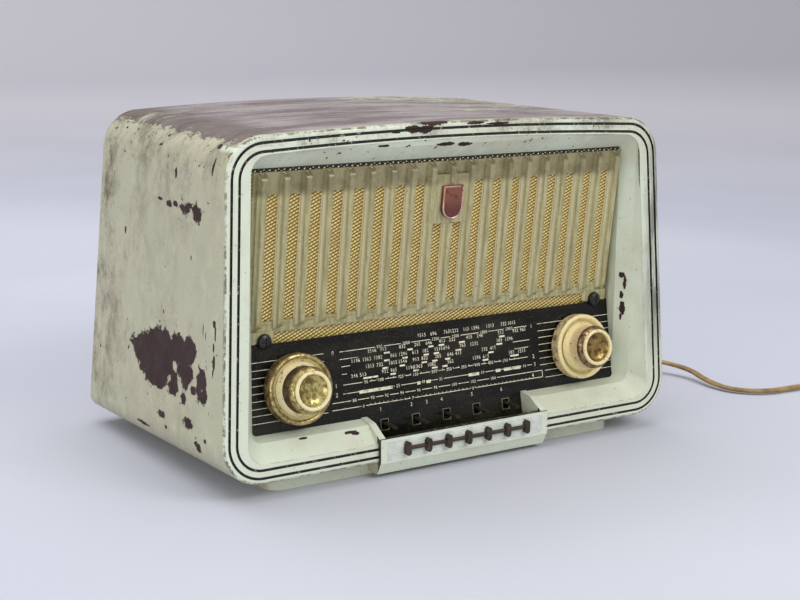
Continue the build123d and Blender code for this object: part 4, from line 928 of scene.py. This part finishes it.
def milky_plastic():
    """Aged translucent moulding, olive in front, with painted light on its left-facing flanks and painted
    shade in the pockets along its top.
    """
    s = Shader("milky_plastic")
    facing = s.axes(s.normal())
    z = s.axes()[2]
    lines = s.noise(420, 4, 0.6, stretch=(1, 1, 0.03), seed=1.0)
    cloudy = s.noise(70, 6, 0.65)
    tone = s.mix(s.step(lines, 0.35, 0.65), srgb(156, 149, 106), srgb(186, 179, 136))
    # painted light: faces turned to the left are near white, brightest at their base next to the cloth
    lit_flank = s.step(facing[0], -0.8, -0.3, 0.9, 0.0)
    out = s.off(GRILLE)
    lit = s.mix(s.step(lines, 0.3, 0.7), srgb(250, 243, 206), srgb(255, 254, 230))
    tone = s.mix(s.times(lit_flank, s.step(out, 0.0072, 0.0026)), tone, lit)
    # painted shade: the band along the top, in the pockets above the slots, is darker, and its up-facing
    # faces darker still
    pocket_shade = s.times(s.step(z, 0.186, 0.192), 0.8)
    tone = s.mix(pocket_shade, tone, s.mix(s.step(cloudy, 0.35, 0.65), srgb(118, 108, 78), srgb(152, 144, 108)))
    tone = s.mix(s.times(s.step(facing[2], 0.2, 0.6), pocket_shade), tone, srgb(96, 88, 60))
    tone = s.mix(s.step(s.noise(300, 5, 0.65, seed=2.0), 0.62, 0.72, 0, 0.5), tone, srgb(112, 94, 64))
    s.bump(s.noise(160, 4, 0.6, stretch=(1, 1, 0.2)), 0.2, 0.6)
    gloss = s.step(cloudy, 0.3, 0.7, 0.16, 0.34)
    return s.done(Base_Color=tone, Roughness=gloss, IOR=1.49, Transmission_Weight=0.06)


# the strands' slope, and in metres their beads' length and their width; each row shifts by a share of a bead
CLOTH_SLOPE = radians(25)
STRAND_LENGTH, STRAND_WIDTH, STRAND_SHIFT = 0.0025, 0.0021, 0.37
CLOTH_FOOT, CLOTH_HEAD, CLOTH_HALF_WIDTH = -11.6, 110.0, 152.0
CLOTH_BACK, CLOTH_HOLLOW, CLOTH_RELIEF = -0.5, -0.45, 0.42
CLOTH_COLUMNS, CLOTH_ROWS = 488, 195


def woven_gold():
    """Twill of gold strands, darker in the gaps and paler on the crowns as painted shade and painted
    highlight, and black at the head as a painted shadow where it runs up behind the frame.
    """
    s = Shader("woven_gold")
    z = s.axes()[2]
    level, rise = cos(CLOTH_SLOPE), sin(CLOTH_SLOPE)
    along = s.vector("DOT_PRODUCT", s.coordinates, (level / STRAND_LENGTH, 0, rise / STRAND_LENGTH))
    across = s.vector("DOT_PRODUCT", s.coordinates, (-rise / STRAND_WIDTH, 0, level / STRAND_WIDTH))
    row = s.math("FLOOR", across)
    shift = s.plus(along, s.times(row, STRAND_SHIFT))
    strand = s.size(s.math("SINE", s.times(across, pi)))
    bead = s.size(s.math("SINE", s.times(shift, pi)))
    height = s.times(strand, s.plus(s.times(bead, 0.6), 0.4))
    # colour follows strand height: painted shade down in the gaps, a painted highlight on the crowns
    tone = s.mix(s.step(height, 0.16, 0.46), srgb(50, 38, 14), srgb(202, 172, 92))
    tone = s.mix(s.step(height, 0.5, 0.9), tone, srgb(252, 236, 170))
    tone = s.mix(s.step(s.noise(90, 4, 0.6), 0.45, 0.7, 0.0, 0.3), tone, srgb(176, 138, 74))
    # painted shadow at the head of the cloth, in the gap under the frame: black, with the strand crowns in it
    # left as cream specks of painted light
    head_shadow = s.times(s.step(height, 0.72, 0.86), s.step(z, 0.2060, 0.2050))
    head_shadow = s.mix(head_shadow, srgb(16, 14, 9), srgb(236, 224, 184))
    tone = s.mix(s.step(z, 0.2026, 0.2032), tone, head_shadow)
    s.bump(s.noise(1800, 3, 0.6), 0.06, 0.7)
    return s.done(Base_Color=tone, Roughness=0.5)


def woven_cloth():
    """Cloth stretched over the board, its strands in relief, with a flat back."""
    level, rise = cos(CLOTH_SLOPE), sin(CLOTH_SLOPE)
    columns = [CLOTH_HALF_WIDTH * (2 * k / CLOTH_COLUMNS - 1) for k in range(CLOTH_COLUMNS + 1)]
    points = []
    for row in range(CLOTH_ROWS + 1):
        up = CLOTH_FOOT + (CLOTH_HEAD - CLOTH_FOOT) * row / CLOTH_ROWS
        z = GRILLE.at(0, up).z
        for x in columns:
            along = (x * MM * level + z * rise) / STRAND_LENGTH
            across = (z * level - x * MM * rise) / STRAND_WIDTH
            bead = abs(sin(pi * (along + floor_of(across) * STRAND_SHIFT)))
            height = abs(sin(pi * across)) * (0.4 + 0.6 * bead)
            points.append(GRILLE.at(x, up, CLOTH_HOLLOW + CLOTH_RELIEF * height))
    wide = len(columns)
    faces = [
        (row * wide + k, row * wide + k + 1, (row + 1) * wide + k + 1, (row + 1) * wide + k)
        for row in range(CLOTH_ROWS) for k in range(CLOTH_COLUMNS)
    ]
    # the flat back joins the front's foot, head and sides
    low_back = len(points)
    high_back = low_back + wide
    points += [GRILLE.at(x, up, CLOTH_BACK) for up in (CLOTH_FOOT, CLOTH_HEAD) for x in columns]
    head = CLOTH_ROWS * wide
    for k in range(CLOTH_COLUMNS):
        faces += [
            (low_back + k, high_back + k, high_back + k + 1, low_back + k + 1),
            (k, low_back + k, low_back + k + 1, k + 1),
            (head + k, head + k + 1, high_back + k + 1, high_back + k),
        ]
    left = [row * wide for row in range(CLOTH_ROWS + 1)]
    right = [start + CLOTH_COLUMNS for start in reversed(left)]
    faces.append((*left, high_back, low_back))
    faces.append((*right, low_back + CLOTH_COLUMNS, high_back + CLOTH_COLUMNS))
    cloth = piece("woven_cloth", points, faces, woven_gold(), ("grille_cloth",))


GRILLE_RIBS, GRILLE_PITCH = 19, 15.66
HIGHLIGHT_BEAD_RADIUS, HIGHLIGHT_BEAD_SIDES = 0.38, 6


def grille_lines():
    """Thin cream tubes up each rib's right edge and over its end, a painted highlight on the ribs' rounded
    shoulders.
    """
    points, faces = [], []
    for k in range(GRILLE_RIBS):
        x = (k - GRILLE_RIBS // 2) * GRILLE_PITCH
        path = [
            (x + 1.5, 92.0, 6.9), (x + 1.5, 98.0, 6.9), (x + 1.4, 100.8, 6.3), (x + 1.0, 102.8, 5.0),
            (x + 0.2, 104.0, 3.4), (x - 0.9, 104.5, 2.0),
        ]
        start = len(points)
        for order, (across, up, out) in enumerate(path):
            before, after = path[max(order - 1, 0)], path[min(order + 1, len(path) - 1)]
            ahead = (Vector(after) - Vector(before)).normalized()
            side = ahead.cross(Vector((0, 0, 1))).normalized()
            over = side.cross(ahead)
            for step in range(HIGHLIGHT_BEAD_SIDES):
                angle = 2 * pi * step / HIGHLIGHT_BEAD_SIDES
                spot = Vector((across, up, out)) + (side * cos(angle) + over * sin(angle)) * HIGHLIGHT_BEAD_RADIUS
                points.append(GRILLE.at(*spot))
        rings = len(path)
        for ring in range(rings - 1):
            first = start + ring * HIGHLIGHT_BEAD_SIDES
            for step in range(HIGHLIGHT_BEAD_SIDES):
                a, b = first + step, first + (step + 1) % HIGHLIGHT_BEAD_SIDES
                faces.append((a, b, b + HIGHLIGHT_BEAD_SIDES, a + HIGHLIGHT_BEAD_SIDES))
        faces.append(tuple(start + step for step in range(HIGHLIGHT_BEAD_SIDES))[::-1])
        faces.append(tuple(start + (rings - 1) * HIGHLIGHT_BEAD_SIDES + step for step in range(HIGHLIGHT_BEAD_SIDES)))
    # cream tubes that stand in for a painted highlight on the ribs
    cream = plain("highlight_bead_plastic", srgb(204, 198, 164), 0.25, scale=200)
    piece("grille_lines", points, faces, cream)


def badge_red():
    s = Shader("badge_red")
    z = s.axes()[2]
    tone = s.mix(s.step(z, 0.170, 0.181), srgb(104, 58, 54), srgb(134, 84, 66))
    tone = s.mix(s.step(s.noise(260, 5, 0.65), 0.5, 0.66, 0, 0.7), tone, srgb(84, 44, 40))
    s.bump(s.noise(500, 4, 0.6), 0.05, 0.6)
    return s.done(Base_Color=tone, Roughness=0.34, Metallic=0.45)


BADGE_HALF, BADGE_TOP, BADGE_SHOULDER = 8.1, 89.4, 74.5
FOOT_ARC = [radians(180 + 15 * k) for k in range(13)]


def badge_rim():
    """Raised rim round the plain shield."""
    rings = [(8.05, 7.3), (7.95, 8.1), (7.6, 8.4), (7.1, 8.35), (6.75, 7.85)]
    points, faces = [], []
    for reach, out in rings:
        top = BADGE_TOP - (BADGE_HALF - reach)
        arc = [(reach * cos(angle), BADGE_SHOULDER + reach * sin(angle)) for angle in FOOT_ARC]
        line = [(-reach, top), *arc, (reach, top)]
        points += [GRILLE.at(x, up, out) for x, up in line]
    size = len(points) // len(rings)
    for ring in range(len(rings)):
        following = (ring + 1) % len(rings)
        for k in range(size):
            after = (k + 1) % size
            a, b = ring * size, following * size
            faces.append((a + k, a + after, b + after, b + k))
    rim = worn_metal("badge_rim", srgb(236, 200, 182), srgb(186, 138, 120), 0.28)
    piece("badge_rim", points, faces, rim)


wear("grille_moulding", milky_plastic())
woven_cloth()
wear("badge", badge_red())
grille_lines()
badge_rim()

# ------------------------ other CAD pieces


def glass(name, colour, roughness=0.06):
    """Clear glass with a faint bloom."""
    s = Shader(name)
    bloom = s.step(s.noise(80, 4, 0.6), 0.4, 0.7, roughness, roughness + 0.12)
    darker = tuple(c * 0.9 for c in colour[:3]) + (1.0,)
    tone = s.mix(s.step(s.noise(50, 4, 0.6, seed=3.0), 0.4, 0.7), colour, darker)
    return s.done(Base_Color=tone, Roughness=bloom, Transmission_Weight=1.0, IOR=1.47)


def paper_cone():
    s = Shader("paper_cone")
    tone = s.mix(s.step(s.noise(400, 5, 0.7), 0.35, 0.65), srgb(44, 40, 38), srgb(70, 64, 58))
    s.bump(s.noise(700, 4, 0.7), 0.15, 0.8)
    return s.done(Base_Color=tone, Roughness=0.9)


SHEET_THICKNESS = 0.0007


def laminated_iron():
    """Stacked sheets of transformer iron, rusty at their edges."""
    s = Shader("laminated_iron")
    sheet = s.size(s.math("SINE", s.times(s.axes()[1], pi / SHEET_THICKNESS)))
    rust = s.step(s.noise(120, 6, 0.7), 0.52, 0.66)
    tone = s.mix(s.step(sheet, 0.0, 0.35), srgb(40, 36, 34), srgb(92, 88, 84))
    tone = s.mix(s.times(rust, 0.7), tone, srgb(116, 72, 44))
    s.bump(sheet, 0.1, 0.6)
    return s.done(Base_Color=tone, Roughness=0.55, Metallic=s.step(rust, 0, 1, 0.7, 0.1))


def fibre_board(name, light, dark):
    """Pressed board with fibres and scuffs."""
    s = Shader(name)
    fibres = s.noise(300, 6, 0.7, stretch=(0.2, 1, 1))
    tone = s.mix(s.step(fibres, 0.35, 0.65), dark, light)
    tone = s.mix(s.step(s.noise(35, 5, 0.6, seed=2.0), 0.5, 0.75, 0, 0.35), tone, srgb(150, 126, 96))
    s.bump(fibres, 0.12, 0.7)
    return s.done(Base_Color=tone, Roughness=s.step(fibres, 0.3, 0.7, 0.6, 0.8))


steel = plain("zinc_plate", srgb(150, 149, 142), 0.42, 0.85, 0.14, 60)
rod_steel = plain("rod_steel", srgb(176, 176, 174), 0.28, 0.95, 0.08, 200)
dark_steel = plain("browned_steel", srgb(74, 70, 60), 0.45, 0.75, 0.16, 160)
aluminium = plain("spun_aluminium", srgb(190, 191, 192), 0.34, 0.9, 0.08, 90)
black_plastic = plain("black_plastic", srgb(26, 25, 24), 0.34, scale=160)
brown_plastic = plain("brown_phenolic", srgb(92, 56, 30), 0.42, variation=0.2, scale=180)
electrode = plain("electrode_metal", srgb(84, 84, 86), 0.5, 0.7, 0.18, 240)
clear_glass = glass("valve_glass", (0.96, 0.97, 0.96, 1))
LOOKS = {
    steel: (
        "chassis", "chassis_fixings", "key_frame", "speaker_basket", "gang_frame", "dial_back_plate",
        "cover_screws",
    ),
    rod_steel: (
        "pointer_rail", "left_inner_spindle", "right_inner_spindle", "left_outer_spindle",
        "right_outer_spindle",
    ),
    dark_steel: tuple(f"key_lever_{k}" for k in range(1, 6)),
    aluminium: ("if_transformer_cans", "gang_rotor"),
    black_plastic: ("retaining_screws", "cord_gland", "cord_plug", "voltage_selector"),
    brown_plastic: (
        "aerial_earth_sockets", "aerial_holder", "aerial_mast", "valve_sockets", "volume_control",
        "drive_drum",
    ),
    electrode: ("valve_electrodes",),
    clear_glass: tuple(f"valve_{k}" for k in range(1, 6)),
    glass("lamp_glass", (0.98, 0.94, 0.84, 1), 0.1): ("dial_lamps",),
    plain("pointer_red", srgb(168, 44, 30), 0.4, scale=200): ("dial_pointer",),
    paper_cone(): ("speaker_cone",),
    laminated_iron(): ("mains_transformer", "output_transformer"),
    plain("magnet_plate", srgb(58, 58, 60), 0.45, 0.8, 0.15, 90): ("speaker_magnet",),
    plain("capacitor_can", srgb(150, 138, 112), 0.45, 0.3, 0.12, 80): ("smoothing_capacitor",),
    plain("ferrite", srgb(40, 38, 38), 0.6, scale=260, grain=0.06): ("ferrite_rod",),
    fibre_board("cover_board", srgb(104, 78, 54), srgb(70, 50, 34)): ("rear_cover",),
    fibre_board("baffle_fibre", srgb(96, 78, 58), srgb(66, 52, 38)): ("baffle_board",),
}
for material, names in LOOKS.items():
    for name in names:
        wear(name, material)
